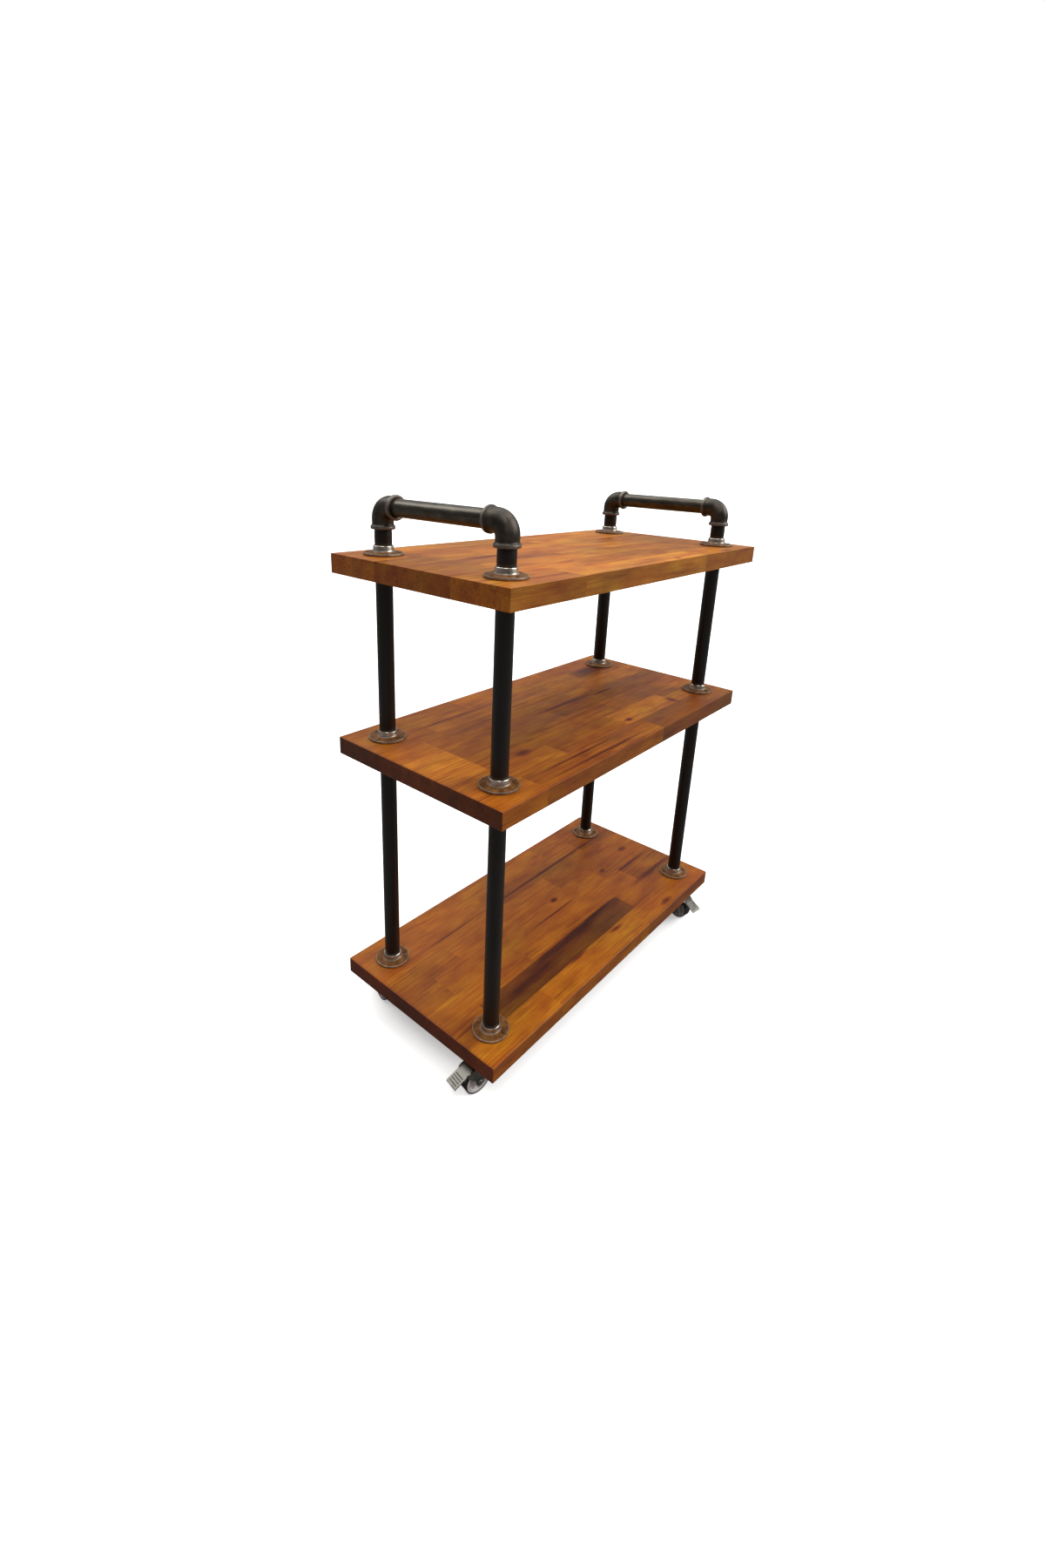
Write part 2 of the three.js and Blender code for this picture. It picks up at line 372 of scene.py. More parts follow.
@dataclass(frozen=True)
class Finish:
    """A surface finish that makes its material once.

    Attributes:
        name: The material's name.
        slot: The record's material slot it stands for; not used.
    """

    name: str
    slot: str

    def material(self) -> bpy.types.Material:
        """The finish's material, made at its first use.

        Returns:
            The material.
        """
        found = bpy.data.materials.get(self.name)
        if found:
            return found
        made = bpy.data.materials.new(self.name)
        made.use_nodes = True
        tree = made.node_tree
        tree.nodes.clear()
        shader = self.shade(tree)
        add_node(tree, "OutputMaterial", {"Surface": shader.outputs["BSDF"]})
        return made

    def shade(self, tree: bpy.types.NodeTree) -> bpy.types.Node:
        """Builds the finish's nodes and returns their shader."""
        raise NotImplementedError

    def grain(self, tree: bpy.types.NodeTree, size: tuple[float, float, float], detail: float = 3.0,
              warp: float = 0.0, rough: float = 0.5, where: bpy.types.NodeSocket | None = None,
              ) -> bpy.types.NodeSocket:
        """A cloudy pattern with its own size along each axis.

        Args:
            tree: The material's node tree.
            size: Width of one patch along X, Y and Z in millimetres.
            detail: How many finer layers lie on it.
            warp: How far the pattern is pushed about.
            rough: How strong the finer layers are.
            where: The coordinates to read, or None for the piece's own.

        Returns:
            The pattern as a number from 0 to 1.
        """
        where = where or add_node(tree, "TexCoord").outputs["Object"]
        scale = tuple(1000 / millimetres for millimetres in size)
        where = add_node(tree, "Mapping", {"Vector": where, "Scale": scale}).outputs[0]
        return add_node(tree, "TexNoise", {"Vector": where, "Scale": 1.0, "Detail": detail,
                                           "Roughness": rough, "Distortion": warp}).outputs["Fac"]

    def coat(self, tree: bpy.types.NodeTree, base: bpy.types.NodeSocket, rough: Sequence[Any],
             relief: Sequence[Any], **sockets: Any) -> bpy.types.Node:
        """Ends a finish with its roughness, its relief and its shader.

        Args:
            tree: The material's node tree.
            base: The colour.
            rough: A pattern, two of its levels, and the roughness at each of them.
            relief: A pattern, how strongly it stands out, and its depth in millimetres.
            **sockets: The shader's other sockets, with an underscore for each space.

        Returns:
            The shader.
        """
        level = add_node(tree, "MapRange", dict(enumerate(rough))).outputs[0]
        pattern, strength, depth = relief
        bump = add_node(tree, "Bump", {"Height": pattern, "Strength": strength,
                                       "Distance": depth * METRES}).outputs[0]
        others = {name.replace("_", " "): value for name, value in sockets.items()}
        return add_node(tree, "BsdfPrincipled", {
            "Base Color": base, "Roughness": level, "Normal": bump, **others})


class Flaw(Enum):
    """What a local mark in the wood is, with the colours from its heart outwards."""

    KNOT = ((0.0, "#4a2a12"), (0.3, "#7a4a26"), (0.42, "#c59a70"), (0.5, "#a87c54"), (0.66, "#e2c8ac"),
            (1.0, "#ffffff"))
    STREAK = ((0.0, "#9c7452"), (0.35, "#ab8462"), (0.7, "#e0c8b0"), (1.0, "#ffffff"))
    LINE = ((0.0, "#7d5535"), (0.4, "#a67d5a"), (1.0, "#ffffff"))


@dataclass(frozen=True)
class Mark:
    """One mark in a board: its kind, its middle in X and Y, and its half length and width."""

    kind: Flaw
    x: float
    y: float
    length: float
    width: float


@dataclass(frozen=True)
class StainedPine(Finish):
    """Edge-glued pine, sanded, stained honey brown and sealed with satin varnish.

    The eye sees long staves that differ in tone, fine lines of late wood along them, a few
    knots, darker end grain and edges where the stain gathered, light and shade painted on the
    end grain, and a soft sheen.

    Attributes:
        half: Half the board's length and depth in millimetres.
        marks: The knots, streaks and dark lines that the board shows.
        end_tone_and_painted_light: What the end grain's colour is multiplied by: darker end grain, and
            painted light and shade on the ends that differ from board to board.
        tint: What the whole board's colour is multiplied by.
        ring: Width of a year's growth in millimetres; drawn wider than real pine's, so that it shows.
        fibre: Width of a bundle of fibres in millimetres.
    """

    half: Point = (370.0, 182.5)
    marks: tuple[Mark, ...] = ()
    end_tone_and_painted_light: str = "#b0925e"
    tint: str = "#ffffff"
    ring: float = 3.6
    fibre: float = 0.9

    def shade(self, tree: bpy.types.NodeTree) -> bpy.types.Node:
        """Builds the finish's nodes.

        Args:
            tree: The material's node tree.

        Returns:
            The shader.
        """
        spot = add_node(tree, "TexCoord")
        stave = add_node(tree, "Attribute", attribute_name="stave").outputs["Color"]
        tone = add_node(tree, "SeparateColor", {"Color": stave})
        # Each stave was cut from another part of the tree, so its grain starts elsewhere.
        jump = add_node(tree, "VectorMath", {0: stave, 1: (0.0, 0.47, 0.31)}, operation="MULTIPLY").outputs[0]
        own = spot.outputs["Object"]
        cut = add_node(tree, "VectorMath", {0: own, 1: jump}, operation="ADD").outputs[0]
        along = add_node(tree, "Mapping", {"Vector": cut, "Scale": (0.045, 1, 1)}).outputs[0]
        # A wave's period is 2 pi / (20 scale), here one year's growth.
        rings = add_node(tree, "TexWave", {
            "Vector": along, "Scale": 2 * math.pi / (20 * self.ring * METRES), "Distortion": 9.0,
            "Detail": 3.0, "Detail Scale": 0.22, "Detail Roughness": 0.6,
        }, wave_type="RINGS", rings_direction="X", wave_profile="SAW").outputs["Fac"]
        # Each pattern's length and width in millimetres, its finer layers, and where it is read.
        fibres, bands, streaks, clouds, mottle, hue = (
            self.grain(tree, (length, width, width), detail, 0.0, 0.55, where)
            for length, width, detail, where in (
                (38.0, self.fibre, 5.0, cut), (120.0, 5.0, 3.0, cut), (210.0, 11.0, 3.0, cut),
                (160.0, 45.0, 2.0, cut), (60.0, 26.0, 3.0, cut), (190.0, 70.0, 2.0, own)))
        base = add_node(tree, "ValToRGB", {"Fac": tone.outputs["Red"]}, stops=[
            (0.0, "#744a10"), (0.35, "#aa701c"), (0.62, "#c38223"), (1.0, "#dc9a37")]).outputs[0]
        layers: list[tuple[bpy.types.NodeSocket, Sequence[tuple[float, str]]]] = [
            (rings, [(0.0, "#ffffff"), (0.72, "#f8f3ea"), (1.0, "#e4d4be")]),
            (fibres, [(0.32, "#dccab2"), (0.55, "#ffffff")]),
            (bands, [(0.3, "#e4d3bd"), (0.5, "#fbf8f2"), (0.7, "#ffffff")]),
            (streaks, [(0.24, "#c4a684"), (0.4, "#ffffff")]),
            (mottle, [(0.32, "#dfc8ab"), (0.62, "#ffffff")]),
            (clouds, [(0.3, "#dccab4"), (0.7, "#ffffff")]),
            (hue, [(0.3, "#ffeedd"), (0.5, "#fffdf6"), (0.7, "#f0ffe2")]),
            (self.near_edge(tree, spot), [(0.0, "#e6d6c4"), (1.0, "#ffffff")]),
        ]
        layers += [(self.reach(tree, spot, flaw), flaw.kind.value) for flaw in self.marks]
        colours = [add_node(tree, "ValToRGB", {"Fac": value}, stops=stops).outputs[0]
                   for value, stops in layers]
        base = self.layered(tree, base, *colours, linear(self.tint))
        facing = add_node(tree, "VectorMath", {0: spot.outputs["Normal"]}, operation="ABSOLUTE").outputs[0]
        facing = add_node(tree, "SeparateXYZ", {0: facing})
        # The end tone darkens the end grain and also paints the light and shade on the ends that differ from
        # board to board; the front and back faces take a faint tint.
        for side, colour in (("X", self.end_tone_and_painted_light), ("Y", "#f0fbe6")):
            here = add_node(tree, "MapRange", {0: facing.outputs[side], 1: 0.5, 2: 0.9}).outputs[0]
            toned = self.layered(tree, base, linear(colour))
            base = add_node(tree, "Mix", {0: here, 6: base, 7: toned}, data_type="RGBA").outputs[2]
        height = add_node(tree, "Math", {0: fibres, 1: 0.7, 2: rings}, operation="MULTIPLY_ADD").outputs[0]
        return self.coat(tree, base, (clouds, 0.25, 0.75, 0.4, 0.54), (height, 0.22, 0.4),
                         Specular_IOR_Level=0.26)

    def layered(self, tree: bpy.types.NodeTree, base: Any, *layers: Any) -> bpy.types.NodeSocket:
        """Multiplies a colour by one layer after another.

        Args:
            tree: The material's node tree.
            base: The colour under the layers.
            *layers: Colours, or sockets that give them.

        Returns:
            The colour through all the layers.
        """
        for layer in layers:
            base = add_node(tree, "Mix", {0: 1.0, 6: base, 7: layer}, data_type="RGBA",
                            blend_type="MULTIPLY").outputs[2]
        return base

    def near_edge(self, tree: bpy.types.NodeTree, spot: bpy.types.Node) -> bpy.types.NodeSocket:
        """How far a point lies in from the board's outline.

        Args:
            tree: The material's node tree.
            spot: The texture coordinate node.

        Returns:
            The distance as a number, 0 at the edge and 1 from 6 mm in.
        """
        size = (self.half[0] * METRES, self.half[1] * METRES, 1.0)
        flat = add_node(tree, "VectorMath", {0: spot.outputs["Object"]}, operation="ABSOLUTE").outputs[0]
        gap = add_node(tree, "VectorMath", {0: size, 1: flat}, operation="SUBTRACT").outputs[0]
        gap = add_node(tree, "SeparateXYZ", {0: gap}).outputs
        near = add_node(tree, "Math", {0: gap["X"], 1: gap["Y"]}, operation="MINIMUM").outputs[0]
        return add_node(tree, "MapRange", {0: near, 1: 0.0, 2: 0.006}).outputs[0]

    def reach(self, tree: bpy.types.NodeTree, spot: bpy.types.Node, flaw: Mark) -> bpy.types.NodeSocket:
        """How far a point lies from a mark, 0 at its heart and 1 clear of it.

        Args:
            tree: The material's node tree.
            spot: The texture coordinate node.
            flaw: The mark.

        Returns:
            The distance as a number from 0 up.
        """
        own = spot.outputs["Object"]
        sway = (flaw.length * 0.5 * METRES, flaw.width * 0.9 * METRES, 0.0)
        heart = Vector((flaw.x, flaw.y, 0)) * METRES + Vector(sway) / 2
        drawn = add_node(tree, "Mapping", {"Vector": own, "Scale": (18.0, 60.0, 60.0)}).outputs[0]
        wobble = add_node(tree, "TexNoise", {"Vector": drawn, "Scale": 1.0}).outputs["Color"]
        wobble = add_node(tree, "VectorMath", {0: wobble, 1: sway}, operation="MULTIPLY").outputs[0]
        away = add_node(tree, "VectorMath", {0: own, 1: tuple(heart)}, operation="SUBTRACT").outputs[0]
        away = add_node(tree, "VectorMath", {0: away, 1: wobble}, operation="ADD").outputs[0]
        size = (1 / (flaw.length * METRES), 1 / (flaw.width * METRES), 0.0)
        away = add_node(tree, "VectorMath", {0: away, 1: size}, operation="MULTIPLY").outputs[0]
        return add_node(tree, "VectorMath", {0: away}, operation="LENGTH").outputs["Value"]


@dataclass(frozen=True)
class LacqueredPipe(Finish):
    """Welded steel pipe dipped in black lacquer: near black, a soft gloss, faint runs and dust."""

    def shade(self, tree: bpy.types.NodeTree) -> bpy.types.Node:
        """Builds the finish's nodes.

        Args:
            tree: The material's node tree.

        Returns:
            The shader.
        """
        mottle = self.grain(tree, (26, 26, 60), 4)
        drawn = self.grain(tree, (1.6, 1.6, 90), 3)
        dust = self.grain(tree, (0.7, 0.7, 0.7), 2)
        base = add_node(tree, "ValToRGB", {"Fac": mottle}, stops=[
            (0.3, "#0b0807"), (0.6, "#140e0c"), (0.85, "#231812")]).outputs[0]
        wear_and_highlight = add_node(tree, "Attribute", attribute_name="wear_and_highlight").outputs["Fac"]
        patch = add_node(tree, "MapRange", {0: dust, 1: 0.45, 2: 0.6, 3: 0.0, 4: 1.0}).outputs[0]
        wear_and_highlight = add_node(tree, "Math", {0: wear_and_highlight, 1: patch}, operation="MULTIPLY").outputs[0]
        base = add_node(tree, "Mix", {0: wear_and_highlight, 6: base, 7: linear("#5d5147")}, data_type="RGBA").outputs[2]
        height = add_node(tree, "Math", {0: drawn, 1: 0.5, 2: dust}, operation="MULTIPLY_ADD").outputs[0]
        return self.coat(tree, base, (mottle, 0.3, 0.75, 0.3, 0.46), (height, 0.12, 0.2),
                         Specular_IOR_Level=0.3)


@dataclass(frozen=True)
class OiledPipe(Finish):
    """Black steel pipe wiped with oil: gunmetal where light falls on it, dark below, faint scale."""

    def shade(self, tree: bpy.types.NodeTree) -> bpy.types.Node:
        """Builds the finish's nodes.

        Args:
            tree: The material's node tree.

        Returns:
            The shader.
        """
        scale = self.grain(tree, (9, 22, 9), 4)
        drawn = self.grain(tree, (1.4, 70, 1.4), 3)
        base = add_node(tree, "ValToRGB", {"Fac": scale}, stops=[
            (0.3, "#34302a"), (0.55, "#4a463e"), (0.8, "#625d53")]).outputs[0]
        wear_and_highlight = add_node(tree, "Attribute", attribute_name="wear_and_highlight").outputs["Fac"]
        base = add_node(tree, "Mix", {0: wear_and_highlight, 6: base, 7: linear("#7d7468")}, data_type="RGBA").outputs[2]
        return self.coat(tree, base, (scale, 0.3, 0.75, 0.26, 0.38), (drawn, 0.12, 0.2), Metallic=0.9)


@dataclass(frozen=True)
class GalvanisedIron(Finish):
    """Malleable iron, hot-dip galvanised and dulled: brownish faces and a brighter hub; the edges' lighter
    colour is a painted highlight.
    """

    def shade(self, tree: bpy.types.NodeTree) -> bpy.types.Node:
        """Builds the finish's nodes.

        Args:
            tree: The material's node tree.

        Returns:
            The shader.
        """
        stain = self.grain(tree, (9, 9, 9), 4)
        sand = self.grain(tree, (0.9, 0.9, 0.9), 2)
        face = add_node(tree, "ValToRGB", {"Fac": stain}, stops=[
            (0.3, "#4a2a0a"), (0.55, "#6a4114"), (0.8, "#885c24")]).outputs[0]
        bright = add_node(tree, "ValToRGB", {"Fac": stain}, stops=[
            (0.3, "#9c9184"), (0.7, "#cfc6ba")]).outputs[0]
        # The mark is bright metal on the hub and a painted highlight on the rim.
        wear_and_highlight = add_node(tree, "Attribute", attribute_name="wear_and_highlight").outputs["Fac"]
        base = add_node(tree, "Mix", {0: wear_and_highlight, 6: face, 7: bright}, data_type="RGBA").outputs[2]
        metal = add_node(tree, "MapRange", {0: wear_and_highlight, 1: 0.0, 2: 1.0, 3: 0.15, 4: 0.95}).outputs[0]
        return self.coat(tree, base, (wear_and_highlight, 0.0, 1.0, 0.52, 0.28), (sand, 0.25, 0.2), Metallic=metal,
                         Specular_IOR_Level=0.3)


@dataclass(frozen=True)
class CastIron(Finish):
    """Sand-cast malleable iron, oiled black: grainy grey-brown with bands rubbed brighter, and a painted
    highlight on the top of the bend.
    """

    def shade(self, tree: bpy.types.NodeTree) -> bpy.types.Node:
        """Builds the finish's nodes.

        Args:
            tree: The material's node tree.

        Returns:
            The shader.
        """
        patch = self.grain(tree, (14, 14, 14), 4)
        sand = self.grain(tree, (1.1, 1.1, 1.1), 3)
        base = add_node(tree, "ValToRGB", {"Fac": patch}, stops=[
            (0.28, "#2a2621"), (0.55, "#413b34"), (0.8, "#5c554b")]).outputs[0]
        # The mark holds the bands' wear and a painted highlight on the top of the outer bend.
        wear_and_highlight = add_node(tree, "Attribute", attribute_name="wear_and_highlight").outputs["Fac"]
        rub_and_highlight = add_node(tree, "MapRange", {0: sand, 1: 0.35, 2: 0.6, 3: 0.25, 4: 0.9}).outputs[0]
        wear_and_highlight = add_node(tree, "Math", {0: wear_and_highlight, 1: rub_and_highlight}, operation="MULTIPLY").outputs[0]
        base = add_node(tree, "Mix", {0: wear_and_highlight, 6: base, 7: linear("#9a9086")}, data_type="RGBA").outputs[2]
        return self.coat(tree, base, (patch, 0.3, 0.7, 0.34, 0.5), (sand, 0.45, 0.4), Metallic=0.75)


@dataclass(frozen=True)
class ZincPlate(Finish):
    """Pressed steel with bright zinc plating: cool grey, fine rolling lines, cloudy tints."""

    def shade(self, tree: bpy.types.NodeTree) -> bpy.types.Node:
        """Builds the finish's nodes.

        Args:
            tree: The material's node tree.

        Returns:
            The shader.
        """
        cloud = self.grain(tree, (12, 12, 12), 3)
        rolled = self.grain(tree, (30, 0.6, 0.6), 2)
        base = add_node(tree, "ValToRGB", {"Fac": cloud}, stops=[
            (0.3, "#605e58"), (0.55, "#73716b"), (0.8, "#878579")]).outputs[0]
        return self.coat(tree, base, (cloud, 0.3, 0.7, 0.3, 0.45), (rolled, 0.12, 0.1), Metallic=1.0)


@dataclass(frozen=True)
class TreadRubber(Finish):
    """Moulded black rubber: matt, with a film of dust where it rolls."""

    def shade(self, tree: bpy.types.NodeTree) -> bpy.types.Node:
        """Builds the finish's nodes.

        Args:
            tree: The material's node tree.

        Returns:
            The shader.
        """
        dust = self.grain(tree, (5, 5, 5), 4)
        skin = self.grain(tree, (0.5, 0.5, 0.5), 2)
        base = add_node(tree, "ValToRGB", {"Fac": dust}, stops=[
            (0.35, "#121111"), (0.7, "#1f1d1c"), (0.9, "#3a3633")]).outputs[0]
        return self.coat(tree, base, (dust, 0.3, 0.8, 0.62, 0.85), (skin, 0.3, 0.2))


@dataclass(frozen=True)
class MouldedPolypropylene(Finish):
    """Injection-moulded grey polypropylene: even, slightly waxy, with faint flow clouds."""

    def shade(self, tree: bpy.types.NodeTree) -> bpy.types.Node:
        """Builds the finish's nodes.

        Args:
            tree: The material's node tree.

        Returns:
            The shader.
        """
        flow = self.grain(tree, (10, 10, 10), 3, 1.5)
        grit = self.grain(tree, (0.6, 0.6, 0.6), 2)
        base = add_node(tree, "ValToRGB", {"Fac": flow}, stops=[
            (0.3, "#b0a8a6"), (0.7, "#c6bfbc")]).outputs[0]
        return self.coat(tree, base, (flow, 0.3, 0.7, 0.42, 0.55), (grit, 0.15, 0.1))


PIPE_FINISH = LacqueredPipe("lacquered_steel_pipe", "black_pipe")
BAR_FINISH = OiledPipe("oiled_steel_pipe", "black_pipe")
FLANGE_FINISH = GalvanisedIron("dulled_galvanised_iron", "flange_steel")
ELBOW_FINISH = CastIron("oiled_cast_iron", "cast_iron")
ZINC_FINISH = ZincPlate("zinc_plated_steel", "zinc_steel")
RUBBER_FINISH = TreadRubber("moulded_rubber", "tread_rubber")
CORE_FINISH = MouldedPolypropylene("moulded_polypropylene", "core_plastic")


def place(piece: bpy.types.Object, body: str, finish: Finish, *nodes: str) -> bpy.types.Object:
    """Dresses a piece, lets it ride on a body and hides the nodes it stands for.

    Args:
        piece: The finished mesh object.
        body: The body it moves with.
        finish: Its surface.
        *nodes: The frame's nodes that it replaces.

    Returns:
        The same piece.
    """
    piece.data.materials.clear()
    piece.data.materials.append(finish.material())
    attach(piece, body)
    if nodes:
        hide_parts(*nodes)
    LOG.info("%s: %d faces on %s, %s", piece.name, len(piece.data.polygons), body, finish.name)
    return piece


def centre(node: str) -> Vector:
    """The middle of a node's box in millimetres."""
    low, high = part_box(node)
    return (low + high) / 2 / METRES


def foot(node: str) -> Vector:
    """The middle of the bottom of a node's box in millimetres."""
    middle = centre(node)
    return Vector((middle.x, middle.y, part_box(node)[0].z / METRES))


# ---------------------------------------------------------------- boards


class Tone(Enum):
    """How dark a stave took the stain."""

    UMBER = 0.12
    BROWN = 0.27
    AMBER = 0.49
    HONEY = 0.7
    STRAW = 0.98


@dataclass
class Board:
    """One shelf: staves glued edge to edge, each of finger-jointed lengths.

    Attributes:
        level: Which shelf it is.
        rows: For each stave from the front, the X where each length ends and its tone.
        marks: The knots, streaks and lines that show on it.
        seed: Shifts the grain from board to board.
        end_tone_and_painted_light: What its end grain's colour is multiplied by: darker end grain, and
            painted light and shade on its ends.
        tint: What its whole colour is multiplied by.
        drilled: True if the posts pass through it.
        ease: How far its edges are rounded over.
        hole: The radius of the holes for the posts.
    """

    level: str
    rows: Sequence[Sequence[tuple[float, Tone]]]
    marks: tuple[Mark, ...]
    seed: float
    end_tone_and_painted_light: str
    tint: str = "#ffffff"
    drilled: bool = True
    ease: float = 1.6
    hole: float = 14.1

    def build(self) -> None:
        """Makes the board with its stave marks, drills it and eases its edges."""
        node = f"shelf_{self.level}"
        low, high = (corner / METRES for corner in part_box(node))
        width = (high.y - low.y) / len(self.rows)
        cuts = sorted({low.x, high.x} | {end for row in self.rows for end, _ in row[:-1]})
        lines = [low.y + width * i for i in range(len(self.rows) + 1)]
        shape = Shape()
        index: dict[tuple[int, int, int], int] = {}
        for k, z in enumerate((low.z, high.z)):
            for j, y in enumerate(lines):
                for i, x in enumerate(cuts):
                    index[i, j, k] = len(shape.points)
                    shape.points.append(Vector((x, y, z)))
        cells: list[tuple[int, int]] = []

        def face(i: int, j: int, *corners: tuple[int, int, int]) -> None:
            """Adds a face and remembers the cell that it belongs to."""
            shape.faces.append(tuple(index[c] for c in corners))
            cells.append((i, j))

        last_x, last_y = len(cuts) - 1, len(lines) - 1
        for i in range(last_x):
            for j in range(last_y):
                for k in (0, 1):
                    face(i, j, (i, j, k), (i + 1, j, k), (i + 1, j + 1, k), (i, j + 1, k))
        for i in range(last_x):
            for j, cell in ((0, 0), (last_y, last_y - 1)):
                face(i, cell, (i, j, 0), (i + 1, j, 0), (i + 1, j, 1), (i, j, 1))
        for j in range(last_y):
            for i, cell in ((0, 0), (last_x, last_x - 1)):
                face(cell, j, (i, j, 0), (i, j + 1, 0), (i, j + 1, 1), (i, j, 1))
        piece = shape.make(f"{self.level}_board")
        marks = piece.data.attributes.new("stave", "FLOAT_COLOR", "FACE")
        for value, (i, j) in zip(marks.data, cells):
            value.color = self.stave((cuts[i] + cuts[i + 1]) / 2, j)
        if self.drilled:
            for corner in CORNERS:
                post = centre(f"post_lower_{corner}")
                drill = Shape.turned([(0, low.z - 2), (self.hole, low.z - 2), (self.hole, high.z + 2),
                                      (0, high.z + 2)], 40)
                work(piece, drill.at(shift(post.x, post.y)), Joining.CUT)
        soften(piece, self.ease, 3, 60)
        half = ((high.x - low.x) / 2, (high.y - low.y) / 2)
        finish = StainedPine(f"stained_pine_{self.level}", "stained_wood", half, self.marks,
                             self.end_tone_and_painted_light, self.tint)
        place(piece, ROOT, finish, node)

    def stave(self, x: float, row: int) -> tuple[float, float, float, float]:
        """The tone and the two grain seeds of the length that holds X in a row.

        Args:
            x: A point along the board.
            row: The row's number from the front.

        Returns:
            The tone, the two seeds and 1.
        """
        for number, (end, tone) in enumerate(self.rows[row]):
            if x < end or number == len(self.rows[row]) - 1:
                key = row * 7.31 + number * 3.17 + self.seed
                return (tone.value, math.sin(key * 12.9) * 0.5 + 0.5, math.sin(key * 78.2) * 0.5 + 0.5, 1.0)
        raise ValueError("a row of staves is empty")


# ---------------------------------------------------------------- pipework


@dataclass
class Pipework:
    """Posts, nipples, handle bars, floor flanges, their screws and the elbows.

    Attributes:
        outer: The pipe's outer radius.
        bore: Its inner radius.
        thread_pitch: The height of one turn of thread.
        thread_depth: How deep the thread is cut.
        hub_height: The flange's height.
        flange_outer: The flange's radius.
        screw_circle: How far its screws stand from its middle.
        socket_depth: How deep a pipe sits in an elbow.
        turns: How far the bottom flange at each corner is turned, in degrees.
    """

    outer: float = 13.45
    bore: float = 10.65
    thread_pitch: float = 1.8
    thread_depth: float = 0.5
    hub_height: float = 14.5
    flange_outer: float = 31.0
    screw_circle: float = 23.5
    socket_depth: float = 11.5
    turns: dict[str, float] = field(default_factory=lambda: {
        "front_left": 18.0, "front_right": 52.0, "back_right": 33.0, "back_left": 70.0})

    def build(self) -> None:
        """Makes every piece of the pipework."""
        flange = self.flange()
        screws = self.screws(self.screw_circle, 4.0)
        for corner in CORNERS:
            for rank, level in enumerate(LEVELS):
                node = f"flange_{level}_{corner}"
                turn = shift(*foot(node)) @ spin(self.turns[corner] + 31 * rank)
                self.copy(flange, turn, f"{level}_flange_{corner}", FLANGE_FINISH, node)
                self.copy(screws, turn, f"{level}_flange_screws_{corner}", FLANGE_FINISH)
            self.pipe(f"post_lower_{corner}", (self.hub_height, None))
            self.pipe(f"post_upper_{corner}", (self.hub_height - 5, None))
            self.pipe(f"nipple_{corner}", (self.hub_height - 5, self.socket_depth))
            self.elbow(corner)
        for side in ("left", "right"):
            self.bar(f"handle_{side}")
        for spare in (flange, screws):
            bpy.data.objects.remove(spare)

    def copy(self, pattern: bpy.types.Object, matrix: Matrix, name: str, finish: Finish,
             *nodes: str) -> None:
        """Places a moved copy of a pattern piece on the cart's frame.

        Args:
            pattern: The piece to copy, in its own frame.
            matrix: Where the copy goes, in millimetres.
            name: The copy's name.
            finish: Its surface.
            *nodes: The nodes that it replaces.
        """
        mesh = pattern.data.copy()
        moved = matrix.copy()
        moved.translation *= METRES
        mesh.transform(moved)
        piece = bpy.data.objects.new(name, mesh)
        bpy.context.scene.collection.objects.link(piece)
        place(piece, ROOT, finish, *nodes)

    def wall(self, length: float, threads: tuple[float | None, float | None]) -> list[Point]:
        """The profile of a pipe wall from its bore round to its bore.

        Args:
            length: The pipe's length.
            threads: How deep each end sits in its fitting, or None for no thread showing.

        Returns:
            Radius and height pairs.
        """
        root = self.outer - self.thread_depth
        profile: list[Point] = [(self.bore, 0), (self.outer - 0.8, 0), (root, 0.8)]
        lead, tail = threads
        if lead is not None:
            profile += self.thread(lead, 3)
        if tail is not None:
            profile += [(r, length - h) for r, h in reversed(self.thread(tail, 3))]
        return profile + [(root, length - 0.8), (self.outer - 0.8, length), (self.bore, length)]

    def thread(self, start: float, count: int) -> list[Point]:
        """The ridges that show past a fitting, fading into the full pipe.

        Args:
            start: The height of the first ridge.
            count: How many ridges there are.

        Returns:
            Radius and height pairs.
        """
        ridges: list[Point] = [(self.outer - self.thread_depth, start - 1)]
        for i in range(count):
            base = start + i * self.thread_pitch
            depth = self.thread_depth * (1 - i / count)
            ridges += [(self.outer - depth, base), (self.outer - 0.1, base + self.thread_pitch * 0.45)]
        ridges.append((self.outer, start + count * self.thread_pitch))
        return ridges

    def pipe(self, node: str, threads: tuple[float | None, float | None]) -> None:
        """Makes an upright pipe in place of its node.

        Args:
            node: The node's name.
            threads: How deep each end sits in its fitting, or None for no thread showing.
        """
        low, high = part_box(node)
        base = foot(node)
        length = (high.z - low.z) / METRES
        profile = self.wall(length, threads)
        if threads[1] is None:
            profile[-3] = (self.outer, length - 0.8)
        piece = Shape.turned(profile, 56, True).at(shift(*base)).make(node + "_pipe", 40)
        lead = threads[0] or 0.0
        mark(piece, "wear_and_highlight", lambda p, n: max(0.0, 1 - abs(p.z - base.z - lead - 1.5) / 3.0) * 0.8)
        place(piece, ROOT, PIPE_FINISH, node)

    def bar(self, node: str) -> None:
        """Makes a handle bar in place of its node.

        Args:
            node: The node's name.
        """
        low, high = (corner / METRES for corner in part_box(node))
        length = high.y - low.y
        middle = centre(node)
        turn = shift(middle.x, low.y, middle.z) @ spin(-90, "X")
        profile = self.wall(length, (self.socket_depth, self.socket_depth))
        piece = Shape.turned(profile, 56, True).at(turn).make(node + "_bar", 40)
        mark(piece, "wear_and_highlight", lambda p, n: max(0.0, (abs(p.y) - length / 2 + 18) / 6) * 0.6)
        place(piece, ROOT, BAR_FINISH, node)

